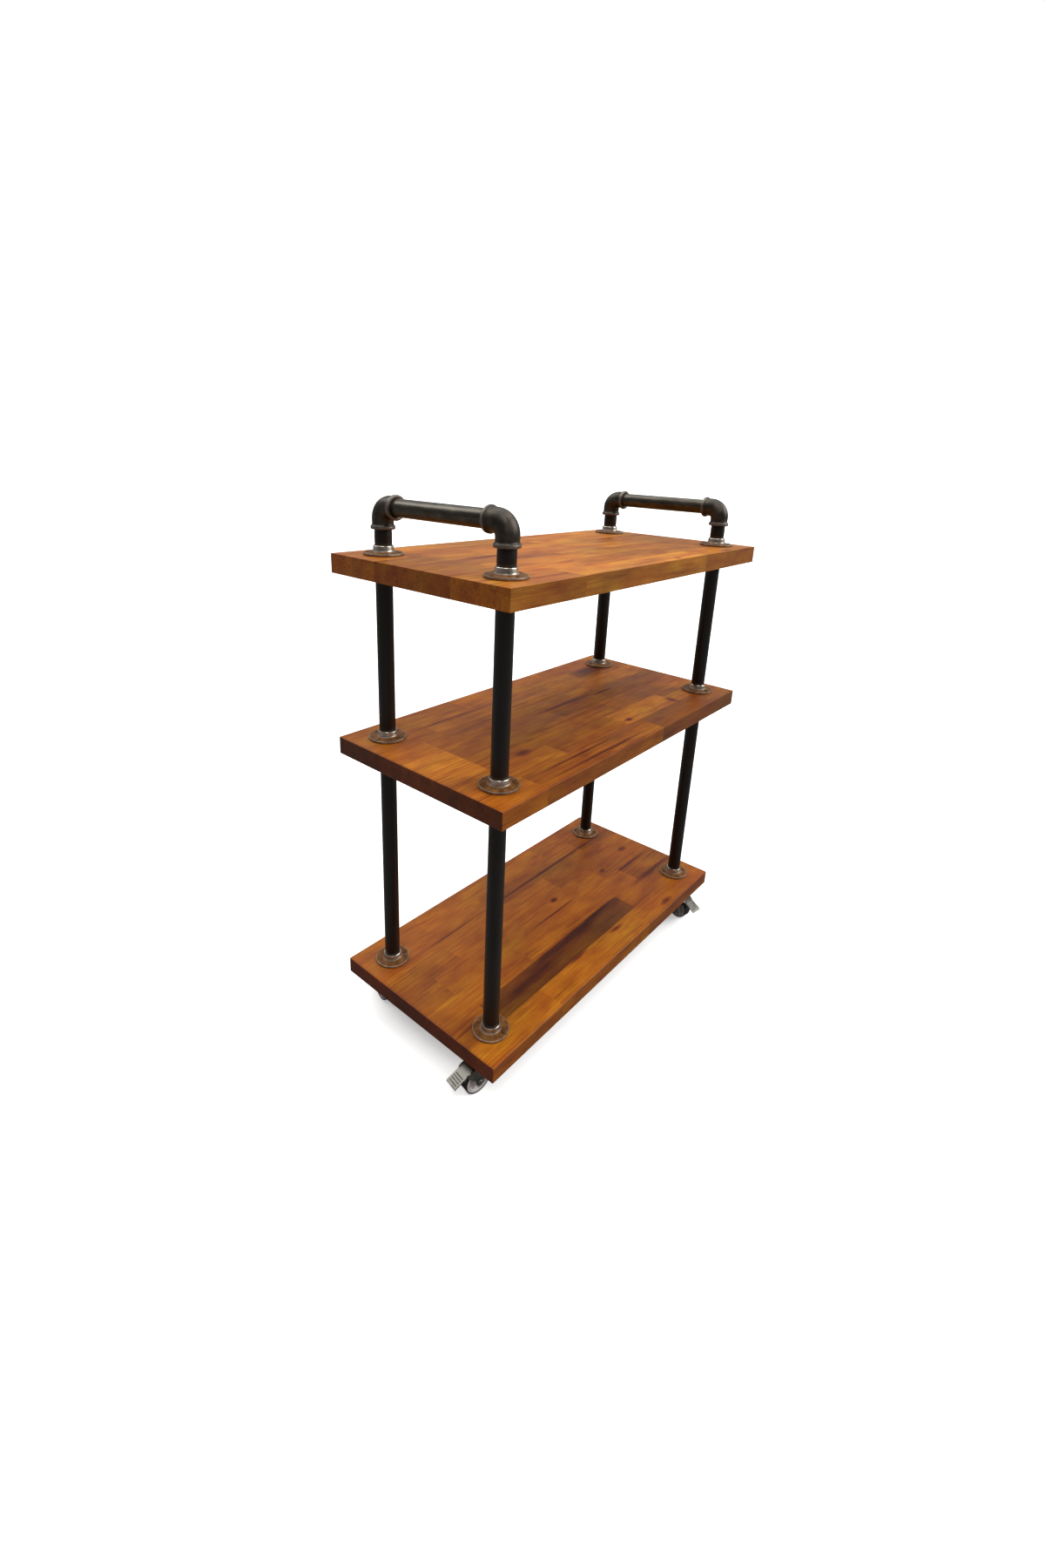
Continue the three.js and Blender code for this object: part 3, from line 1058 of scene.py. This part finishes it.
    def flange(self) -> bpy.types.Object:
        """The pattern of a floor flange: disc, filleted hub and four countersunk holes.

        Returns:
            The pattern piece, in its own frame.
        """
        outer, top = self.flange_outer, self.hub_height
        profile = [(13.6, 0), (outer - 0.5, 0), (outer, 0.5), (outer, 3.0), (outer - 0.35, 3.7),
                   (outer - 1.2, 4.05), (outer - 2.2, 4.08), (20.5, 4.5), (18.2, 4.9), (17.0, 5.7),
                   (16.4, 6.9), (16.1, 8.4), (15.7, 13.2), (15.45, 14.0), (14.9, top), (14.0, top),
                   (13.6, top - 0.5)]
        piece = Shape.turned(profile, 64, True).make("flange_pattern")
        sink = Shape.turned([(0, -1), (2.3, -1), (2.3, 2.4), (4.2, 4.4), (4.2, 6), (0, 6)], 24)
        for i in range(4):
            work(piece, sink.at(spin(90 * i) @ shift(self.screw_circle)), Joining.CUT)
        smooth(piece, 32)
        # The hub is marked as bright metal; the rim's lighter mark paints the highlight that its edge
        # catches.
        mark(piece, "wear_and_highlight", lambda p, n: min(1.0, max(
            (p.z - 5.4) / 1.6, 0.25 if math.hypot(p.x, p.y) > outer - 1.3 and p.z > 2.5 else 0.0, 0.0)))
        return piece

    def screws(self, circle: float, seat: float) -> bpy.types.Object:
        """The pattern of four cross-head screws round a flange.

        Args:
            circle: How far they stand from the middle.
            seat: The height that their heads rest at.

        Returns:
            The pattern piece, in its own frame.
        """
        whole = Shape()
        single = cross_screw()
        for i in range(4):
            whole = whole.plus(single.at(spin(90 * i + 3) @ shift(circle, 0, seat) @ spin(37 * i)))
        return whole.make("screws_pattern", 30)

    def elbow(self, corner: str) -> None:
        """Makes a banded elbow in place of its node, from a ring swept round its bend.

        Args:
            corner: The corner that it stands at.
        """
        node = f"elbow_{corner}"
        post = centre(f"nipple_{corner}")
        toward = 1.0 if post.y < 0 else -1.0
        heart = Vector((post.x, post.y, foot(node).z + Elbow.reach))
        turn = shift(*heart) @ spin(0 if toward > 0 else 180)
        piece = Elbow().shape().at(turn).make(node + "_casting", 50)
        mark(piece, "wear_and_highlight", lambda p, n: Elbow.rub_and_highlight(p - heart, toward))
        place(piece, ROOT, ELBOW_FINISH, node)


@dataclass
class Elbow:
    """A cast elbow: two banded sockets and a bend, with the mould's seam round its middle.

    Attributes:
        reach: From the crossing of its two axes to each mouth.
        bend: The radius of its centreline's bend.
        body: The outer radius between the bands.
        rim: The outer radius of a band.
        band: How long a band is.
        socket: The radius of each mouth's bore.
        passage: The radius of the bore between them.
        sides: How many points each ring has.
    """

    reach: float = 33.3
    bend: float = 19.0
    body: float = 16.4
    rim: float = 18.8
    band: float = 5.6
    socket: float = 13.6
    passage: float = 10.6
    sides: int = 48

    def centreline(self, along: float) -> tuple[Vector, Vector]:
        """The point and direction at a distance along the bend.

        Args:
            along: The distance from the lower mouth.

        Returns:
            The point, and a unit vector along the centreline.
        """
        straight = self.reach - self.bend
        arc = self.bend * math.pi / 2
        if along < straight:
            return Vector((0, 0, along - self.reach)), Vector((0, 0, 1))
        if along > straight + arc:
            return Vector((0, self.bend + along - straight - arc, 0)), Vector((0, 1, 0))
        turn = (along - straight) / self.bend
        point = Vector((0, self.bend * (1 - math.cos(turn)), self.bend * (math.sin(turn) - 1)))
        return point, Vector((0, math.sin(turn), math.cos(turn)))

    def shape(self) -> Shape:
        """The whole casting, outside and bore.

        Returns:
            The shape, with the crossing of its axes at the origin.
        """
        length = 2 * (self.reach - self.bend) + self.bend * math.pi / 2
        mouth = [(0.0, self.rim - 1.0), (0.4, self.rim - 0.3), (1.0, self.rim), (self.band - 1.2, self.rim),
                 (self.band - 0.4, self.rim - 0.5), (self.band + 0.2, self.body + 1.0),
                 (self.band + 1.2, self.body + 0.3), (self.band + 3.0, self.body)]
        start = mouth[-1][0]
        middle = [(start + (length - 2 * start) * i / 16, self.body + 0.5 * math.sin(math.pi * i / 16))
                  for i in range(1, 16)]
        outside = mouth + middle + [(length - s, r) for s, r in reversed(mouth)]
        bore = [(0.0, self.socket + 0.6), (0.7, self.socket), (13.0, self.socket), (14.2, self.passage)]
        inner = bore + [(14.2 + (length - 28.4) * i / 8, self.passage) for i in range(1, 8)]
        inner += [(length - s, r) for s, r in reversed(bore)]
        rings = [self.ring(s, r, True) for s, r in outside]
        return Shape.swept(rings + [self.ring(s, r, False) for s, r in reversed(inner)])

    def ring(self, along: float, radius: float, outer: bool) -> list[Vector]:
        """One ring of points round the centreline; the outer ones carry seam and sand.

        Args:
            along: How far along the bend it stands.
            radius: The ring's radius.
            outer: True for a ring of the outside, False for one of the bore.

        Returns:
            The ring's points.
        """
        point, ahead = self.centreline(along)
        side = Vector((1, 0, 0))
        up = ahead.cross(side)
        ring = []
        for i in range(self.sides):
            angle = 2 * math.pi * i / self.sides
            direction = side * math.cos(angle) + up * math.sin(angle)
            extra = 0.0
            if outer:
                extra = 0.22 if abs(math.cos(angle)) < 0.05 else 0.0
                extra += 0.13 * noise.noise((point + direction * radius) * 0.35)
            ring.append(point + direction * (radius + extra))
        return ring

    @staticmethod
    def rub_and_highlight(local: Vector, toward: float) -> float:
        """How much a point is lightened: rubbed bright on the two bands, a painted highlight on the top of
        the outer bend.

        Args:
            local: The point, from the crossing of the elbow's axes.
            toward: 1 if the bend leads towards +Y, -1 if towards -Y.

        Returns:
            The wear and painted highlight, from 0 to 0.6.
        """
        y, band_start = local.y * toward, 28.4
        on_band = local.z < -band_start or y > band_start
        # Painted highlight: the top of the outer bend is lightened where the light falls on it.
        painted_top_highlight = max(0.0, (local.z - y - 10) / 30)
        return 0.6 if on_band else min(0.5, painted_top_highlight)


def cross_screw(head: float = 3.9, dome: float = 1.5) -> Shape:
    """A pan-head wood screw with a cross recess; its seat is the origin.

    Args:
        head: The head's radius.
        dome: The head's height.

    Returns:
        The screw's shape, made of rings whose middle ones dip into the cross.
    """
    sides = 48
    radii = [0.0, 0.5, 1.0, 1.5, 2.0, 2.5, 3.0, head * 0.86, head * 0.95, head, head]
    shape = Shape()
    grid: list[list[int]] = []
    for rank, radius in enumerate(radii):
        ring = []
        count = sides if radius > 0 else 1
        for i in range(count):
            angle = 2 * math.pi * i / sides
            x, y = radius * math.cos(angle), radius * math.sin(angle)
            height = dome * math.sqrt(max(0.0, 1 - (radius / head) ** 2 * 0.82))
            if rank == len(radii) - 1:
                height = -0.1
            in_slot = min(abs(x), abs(y)) < 0.55 and radius < 2.3
            ring.append(len(shape.points))
            shape.points.append(Vector((x, y, height - (1.0 if in_slot else 0.0))))
        grid.append(ring)
    shape.bridge(grid, False)
    base = [len(shape.points)]
    shape.points.append(Vector((0, 0, -0.1)))
    shape.bridge([grid[-1], base], False)
    shank = Shape.turned([(0, -15), (0.6, -14), (1.7, -11), (1.7, -0.1), (0, -0.1)], 16)
    return shape.plus(shank)


# ---------------------------------------------------------------- casters


@dataclass
class Caster:
    """A swivel caster with a pressed fork, a grey wheel with a black tread and a foot brake.

    It is modelled with the king pin on the Z axis and the wheel trailing towards +X.

    Attributes:
        corner: The corner that it stands at.
        height: From the floor to the top of its plate.
        trail: From the king pin to the axle.
        radius: The wheel's radius.
        sheet: The thickness of the pressed sheet.
        base: Where the king pin stands.
        turn: The same, turned to the way the wheel trails.
        hub: The wheel's own frame, with Z along its axle.
    """

    corner: str
    height: float = 76.0
    trail: float = 25.0
    radius: float = 25.0
    sheet: float = 2.5
    base: Matrix = field(init=False)
    turn: Matrix = field(init=False)
    hub: Matrix = field(init=False)

    def joint(self, name: str) -> dict[str, Any]:
        """One of the caster's joints from the frame."""
        return next(j for j in frame["joints"] if j["name"] == f"{name}_{self.corner}")

    def build(self) -> None:
        """Makes the caster's pieces on their bodies."""
        swivel = self.joint("swivel")["pos_m"]
        axle = self.joint("roll")["axis"]
        self.base = shift(swivel[0] / METRES, swivel[1] / METRES, 0)
        self.turn = self.base @ spin(math.degrees(math.atan2(-axle[0], axle[1])))
        self.hub = self.turn @ shift(self.trail, 0, self.radius) @ spin(90, "X")
        for make in (self.plate, self.fork, self.axle, self.core, self.tyre, self.pedal):
            make()

    def put(self, piece: bpy.types.Object, matrix: Matrix, kind: str | None, finish: Finish,
            node: str | None) -> None:
        """Moves a piece from its own frame to the cart's and places it.

        Args:
            piece: The finished mesh object.
            matrix: Where it goes, in millimetres.
            kind: Which of the caster's bodies it rides on, or None for the cart's frame.
            finish: Its surface.
            node: The start of the name of the node that it replaces, or None.
        """
        body = f"{kind}_{self.corner}" if kind else ROOT
        moved = matrix.copy()
        moved.translation *= METRES
        piece.data.transform(moved)
        place(piece, body, finish, *([f"{node}_{self.corner}"] if node else []))

    def plate(self) -> None:
        """The screw plate with its pressed race and riveted king pin, and its four screws."""
        top, under = self.height, self.height - self.sheet
        piece = Shape.drawn(rectangle(30, 24, 6, 6), under, top, Plane.PLAN).make("plate")
        for x in (-23, 23):
            for y in (-17, 17):
                slot = Shape.drawn(rounded([(x - 4.2, y - 2.7), (x + 4.2, y - 2.7), (x + 4.2, y + 2.7),
                                            (x - 4.2, y + 2.7)], 2.7, 6), under - 1, top + 1, Plane.PLAN)
                work(piece, slot, Joining.CUT)
        race = Shape.turned([(0, 69.2), (17.6, 69.2), (18.6, 69.5), (19.3, 70.2), (19.8, 71.6), (20, 72.9),
                             (20.6, 73.6), (20.6, 74.5), (0, 74.5)], 56)
        work(piece, race, Joining.ADD)
        pin = Shape.turned([(0, 58.2), (3.5, 58.35), (5.6, 58.9), (6.8, 59.9), (7, 60.6), (4, 60.6), (4, 70),
                            (0, 70)], 32)
        work(piece, pin, Joining.ADD)
        soften(piece, 0.35, 2, 40)
        piece.name = f"caster_plate_{self.corner}_pressing"
        self.put(piece, self.base, None, ZINC_FINISH, "caster_plate")
        whole = Shape()
        for number, (x, y) in enumerate([(-23, -17), (23, -17), (23, 17), (-23, 17)]):
            turn = shift(x, y, under) @ spin(180, "X") @ spin(29 * number)
            whole = whole.plus(cross_screw(4.4, 1.9).at(turn))
        self.put(whole.make(f"caster_screws_{self.corner}", 30), self.base, None, ZINC_FINISH, None)

    def fork(self) -> None:
        """The pressed fork: one bent sheet kept to its side outline, with the lower race."""
        outer, inner, crown, under = 14.0, 11.5, 64.0, 61.0
        section = rounded([(-outer, 10), (-outer, crown), (outer, crown), (outer, 10)], 5.0, 6)
        hollow = rounded([(inner, 10), (inner, under), (-inner, under), (-inner, 10)], 3.0, 6)
        section = self.trimmed(section, 10) + self.trimmed(hollow, 10)
        outline = [(-15, crown + 1), (-15, 59), (-8, 49.6), (18.4, 26), (19.2, 20.6), (22, 18.2), (25, 17.6),
                   (28, 18.2), (30.8, 20.6), (31.8, 27), (37, 38), (48, 45), (50, 50), (48, 54.2), (44, 55.6),
                   (33, 57.6), (23, 61), (19, crown + 1)]
        piece = Shape.drawn(section, -20, 60, Plane.FRONT).make("fork")
        work(piece, Shape.drawn(rounded(outline, 3.2, 5), -30, 30, Plane.SIDE), Joining.KEEP)
        race = Shape.turned([(0, crown - 1.5), (18.4, crown - 1.5), (19, crown), (19, 67.4), (18.4, 68.3),
                             (17.4, 68.6), (0, 68.6)], 56)
        work(piece, race, Joining.ADD)
        work(piece, Shape.turned([(0, 50), (4.4, 50), (4.4, 80), (0, 80)], 24), Joining.CUT)
        for s, z, r in ((self.trail, self.radius, 3.15), (44, 50, 2.2)):
            hole = Shape.turned([(0, -30), (r, -30), (r, 30), (0, 30)], 24)
            work(piece, hole.at(shift(s, 0, z) @ spin(90, "X")), Joining.CUT)
        soften(piece, 0.35, 2, 40)
        piece.name = f"caster_fork_{self.corner}_pressing"
        self.put(piece, self.turn, "fork", ZINC_FINISH, "caster_fork")

    @staticmethod
    def trimmed(outline: list[Point], low: float) -> list[Point]:
        """The outline with its rounded lower ends put back on their level."""
        return [(a, low if b < low + 6 else b) for a, b in outline]

    def axle(self) -> None:
        """The riveted axle with a domed head each side."""
        dome = [(0, 16.6), (2.2, 16.5), (3.9, 16.1), (5.1, 15.3), (5.5, 14.3), (3, 14.3)]
        profile = [(r, -h) for r, h in dome] + list(reversed(dome))
        piece = Shape.turned(profile, 32).make(f"caster_axle_{self.corner}_rivet", 40)
        self.put(piece, self.hub, "fork", ZINC_FINISH, "caster_axle")

    def core(self) -> None:
        """The wheel's core: a bored hub, a web with six ribs each side and a lipped rim."""
        half = [(3.3, 0), (3.3, 10.6), (3.7, 11), (6.9, 11), (7.4, 10.6), (8, 6.2), (8.8, 5.4), (16.6, 5.4),
                (17.4, 6), (18.2, 8.8), (18.9, 9.4), (22.5, 9.4), (23, 9), (23, 0)]
        profile = half[1:-1] + [(r, -z) for r, z in reversed(half[1:-1])]
        whole = Shape.turned(profile, 56, True)
        for i in range(6):
            for side in (-1, 1):
                low, high = sorted((side * 5.0, side * 7.6))
                rib = Shape.drawn(rectangle(5.4, 0.8, 0.3, 2), low, high, Plane.PLAN)
                whole = whole.plus(rib.at(spin(60 * i) @ shift(12.6)))
        piece = whole.make(f"wheel_core_{self.corner}_moulding", 35)
        self.put(piece, self.hub, "wheel", CORE_FINISH, "wheel_core")

    def tyre(self) -> None:
        """The tread ring with rounded shoulders."""
        half = [(23.05, 9.0), (23.2, 9.6), (23.7, 9.95), (24.3, 9.8), (24.75, 9.2), (24.95, 8.2), (25, 6)]
        profile = half + [(r, -z) for r, z in reversed(half)]
        piece = Shape.turned(profile, 72, True).make(f"wheel_tyre_{self.corner}_tread", 45)
        self.put(piece, self.hub, "wheel", RUBBER_FINISH, "wheel_tyre")

    def pedal(self) -> None:
        """The brake pedal: a bent plate kept to its plan, with grip ribs, lugs, shoe and pin."""
        upper = [(37, 57.3), (40, 56.2), (52, 51.1), (72.5, 42.3), (75.4, 40.6)]
        lower = [(s - 0.8, z - 1.9) for s, z in reversed(upper)]
        piece = Shape.drawn(upper + lower, -16, 16, Plane.SIDE).make("pedal")
        plan = [(36, -11), (50.6, -11), (51.6, -12.4), (76, -12.4), (76, 12.4), (51.6, 12.4),
                (50.6, 11), (36, 11)]
        work(piece, Shape.drawn(rounded(plan, 2.2, 5), 30, 70, Plane.PLAN), Joining.KEEP)
        for i in range(4):
            s = 57.5 + 4.2 * i
            z = 51.1 - 0.4293 * (s - 52)
            rib = Shape.turned([(0, -9.5), (0.8, -9.2), (0.9, -8.6), (0.9, 8.6), (0.8, 9.2), (0, 9.5)], 12)
            work(piece, rib.at(shift(s, 0, z) @ spin(90, "X")), Joining.ADD)
        lug = rounded([(39.6, 56), (39.4, 48.6), (42, 45.7), (46.4, 45.7), (48.8, 48.6),
                       (49.4, 51.8)], 2.0, 4)
        for low, high in ((-11, -9), (9, 11)):
            work(piece, Shape.drawn(lug, low, high, Plane.SIDE), Joining.ADD)
        shoe = rounded([(44.5, 53), (46.4, 44), (49, 39.6), (51, 37.7), (52.8, 37.6), (54, 40),
                        (51.5, 50.8)], 0.8, 3)
        work(piece, Shape.drawn(shoe, -8.5, 8.5, Plane.SIDE), Joining.ADD)
        pin = Shape.turned([(0, -15.2), (1.5, -15.1), (2, -14.6), (2, 14.6), (1.5, 15.1), (0, 15.2)], 20)
        work(piece, pin.at(shift(44, 0, 50) @ spin(90, "X")), Joining.ADD)
        soften(piece, 0.3, 2, 40)
        piece.name = f"brake_pedal_{self.corner}_pressing"
        self.put(piece, self.turn, "pedal", ZINC_FINISH, "brake_pedal")


# ---------------------------------------------------------------- studio


@dataclass(frozen=True)
class Sun:
    """One distant soft light.

    Attributes:
        name: The light's name.
        azimuth: Where it stands, in degrees from +X towards +Y.
        elevation: Its height over the horizon in degrees.
        spread: How wide it looks in degrees.
        strength: The white level that it gives a surface facing it.
    """

    name: str
    azimuth: float
    elevation: float
    spread: float
    strength: float

    def build(self) -> None:
        """Hangs the light."""
        lamp = bpy.data.lights.new(self.name, "SUN")
        lamp.angle = math.radians(self.spread)
        lamp.energy = self.strength * math.pi
        holder = bpy.data.objects.new(self.name, lamp)
        holder.matrix_world = spin(self.azimuth + 90) @ spin(90 - self.elevation, "X")
        bpy.context.scene.collection.objects.link(holder)


@dataclass
class Studio:
    """A pale floor, soft light that is weakest from the camera's side, and the camera."""

    place: tuple[float, float, float] = (-986.4, -712.6, 1008.1)
    azimuth: float = -50.40
    elevation: float = 18.57
    roll: float = 2.47
    lens: float = 15.65
    shift: Point = (0.0018, -0.0623)
    suns: tuple[Sun, ...] = (
        Sun("overhead", 60, 80, 70, 0.64),
        Sun("right", -50, 32, 40, 0.74),
        Sun("behind", 103, 41, 24, 0.2),
        Sun("window", 218, 58, 16, 0.2),
    )

    def build(self) -> None:
        """Makes the floor, lights, world and camera."""
        self.floor()
        for sun in self.suns:
            sun.build()
        self.world()
        bpy.context.scene.view_settings.view_transform = "Standard"
        self.camera()

    def world(self) -> None:
        """A white room whose light fades towards the side that the camera stands on."""
        world = bpy.data.worlds.new("soft_white_room")
        world.use_nodes = True
        tree = world.node_tree
        tree.nodes.clear()
        way = add_node(tree, "TexCoord").outputs["Generated"]
        far = add_node(tree, "VectorMath", {0: way, 1: (0.45, 0.25, 0.75)},
                       operation="DOT_PRODUCT").outputs["Value"]
        level = add_node(tree, "MapRange", {0: far, 1: -0.5, 2: 0.9, 3: 0.04, 4: 0.5}).outputs[0]
        lit = add_node(tree, "Background", {"Color": linear("#ffffff"), "Strength": level})
        seen = add_node(tree, "Background", {"Color": linear("#ffffff"), "Strength": 1.0})
        ray = add_node(tree, "LightPath").outputs["Is Camera Ray"]
        mixed = add_node(tree, "MixShader", {0: ray, 1: lit.outputs[0], 2: seen.outputs[0]})
        add_node(tree, "OutputWorld", {"Surface": mixed.outputs[0]})
        bpy.context.scene.world = world

    def floor(self) -> None:
        """A wide pale floor just under the wheels."""
        piece = Shape.drawn(rectangle(60000, 60000), -20, 0, Plane.PLAN).make("floor")
        made = bpy.data.materials.new("pale_painted_floor")
        made.use_nodes = True
        tree = made.node_tree
        tree.nodes.clear()
        pale = add_node(tree, "BsdfPrincipled", {
            "Base Color": linear("#f4f3f1"), "Roughness": 0.9, "Specular IOR Level": 0.1,
            "Emission Color": linear("#ffffff"), "Emission Strength": 0.4}).outputs[0]
        # It throws little light back up, as if a darker room lay round the pale sheet.
        dull = add_node(tree, "BsdfDiffuse", {"Color": linear("#7a7875")}).outputs[0]
        seen = add_node(tree, "LightPath").outputs["Is Camera Ray"]
        mixed = add_node(tree, "MixShader", {0: seen, 1: dull, 2: pale}).outputs[0]
        add_node(tree, "OutputMaterial", {"Surface": mixed})
        piece.data.materials.append(made)

    def camera(self) -> None:
        """Adds the camera and makes it the scene's own."""
        data = bpy.data.cameras.new("view")
        data.sensor_width = 36.0
        data.lens = self.lens
        data.shift_x, data.shift_y = self.shift
        data.clip_start, data.clip_end = 0.05, 200.0
        camera = bpy.data.objects.new("view", data)
        turn = spin(self.azimuth) @ spin(90 - self.elevation, "X") @ spin(self.roll)
        camera.matrix_world = Matrix.Translation(Vector(self.place) * METRES) @ turn
        bpy.context.scene.collection.objects.link(camera)
        bpy.context.scene.camera = camera


# ---------------------------------------------------------------- the cart


def boards() -> Iterable[Board]:
    """The three shelves with the staves and marks each one shows.

    Returns:
        The boards from the top down.
    """
    t, f = Tone, Flaw
    # Each board's end tone also paints light and shade on its ends: near white on the top board, as if lit,
    # and darker on the two below.
    yield Board("top", [
        [(-210, t.HONEY), (160, t.STRAW), (370, t.HONEY)],
        [(-120, t.HONEY), (250, t.AMBER), (370, t.HONEY)],
        [(-260, t.AMBER), (60, t.HONEY), (370, t.AMBER)],
        [(-60, t.AMBER), (290, t.HONEY), (370, t.AMBER)],
        [(-180, t.AMBER), (130, t.HONEY), (370, t.AMBER)],
        [(-300, t.HONEY), (20, t.AMBER), (370, t.HONEY)],
        [(-90, t.HONEY), (210, t.HONEY), (370, t.STRAW)],
    ], (
        Mark(f.LINE, 73, -171, 14, 6), Mark(f.STREAK, 260, -170, 26, 8), Mark(f.LINE, 60, -26, 150, 2.6),
        Mark(f.STREAK, -190, 20, 90, 12), Mark(f.KNOT, 212, 60, 11, 6),
    ), 0.4, "#fffee6")
    yield Board("middle", [
        [(-270, t.HONEY), (70, t.AMBER), (370, t.BROWN)],
        [(-150, t.HONEY), (35, t.AMBER), (218, t.STRAW), (370, t.AMBER)],
        [(-285, t.STRAW), (90, t.AMBER), (370, t.AMBER)],
        [(-285, t.STRAW), (-20, t.AMBER), (370, t.BROWN)],
        [(-285, t.HONEY), (150, t.AMBER), (370, t.AMBER)],
        [(-240, t.AMBER), (195, t.HONEY), (370, t.BROWN)],
        [(-120, t.AMBER), (140, t.HONEY), (370, t.AMBER)],
    ], (
        Mark(f.STREAK, 262, 110, 78, 30), Mark(f.LINE, 160, 9, 44, 6), Mark(f.STREAK, 25, 18, 120, 7),
        Mark(f.LINE, -140, -143, 150, 3.4), Mark(f.LINE, -110, -166, 170, 3.8),
        Mark(f.STREAK, -200, -75, 22, 10),
        Mark(f.KNOT, 57, -116, 13, 10), Mark(f.STREAK, 216, -118, 13, 20), Mark(f.LINE, -206, 115, 80, 3),
    ), 2.1, "#9a8758", "#fff6c4")
    yield Board("bottom", [
        [(-190, t.STRAW), (110, t.STRAW), (370, t.HONEY)],
        [(-290, t.HONEY), (136, t.UMBER), (370, t.AMBER)],
        [(-140, t.HONEY), (230, t.HONEY), (370, t.AMBER)],
        [(-300, t.AMBER), (180, t.HONEY), (370, t.AMBER)],
        [(-230, t.AMBER), (80, t.HONEY), (370, t.AMBER)],
        [(-80, t.HONEY), (240, t.AMBER), (370, t.BROWN)],
        [(-220, t.HONEY), (150, t.HONEY), (370, t.AMBER)],
    ], (
        Mark(f.KNOT, 34, 11, 15, 9), Mark(f.STREAK, 200, -3, 13, 8), Mark(f.STREAK, 314, 15, 17, 9),
        Mark(f.LINE, 110, 94, 290, 5), Mark(f.LINE, 2, -17, 84, 3.4), Mark(f.LINE, 275, -31, 110, 5),
        Mark(f.STREAK, -40, -86, 210, 15), Mark(f.LINE, 66, -80, 74, 7), Mark(f.STREAK, -170, -104, 110, 13),
        Mark(f.LINE, -70, -132, 34, 2.6), Mark(f.STREAK, 48, -138, 26, 6), Mark(f.STREAK, 205, -168, 26, 9),
        Mark(f.LINE, -190, 94, 90, 2.6), Mark(f.STREAK, 290, -84, 100, 9),
    ), 5.7, "#b8965f", "#e2d278", drilled=False)


def main() -> None:
    """Builds the cart and the studio."""
    logging.basicConfig(level=logging.INFO, format="%(name)s %(message)s")
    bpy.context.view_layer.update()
    Studio().build()
    for board in boards():
        board.build()
    Pipework().build()
    for corner in CORNERS:
        Caster(corner).build()
    bpy.context.view_layer.update()


if __name__ == "__main__":
    main()
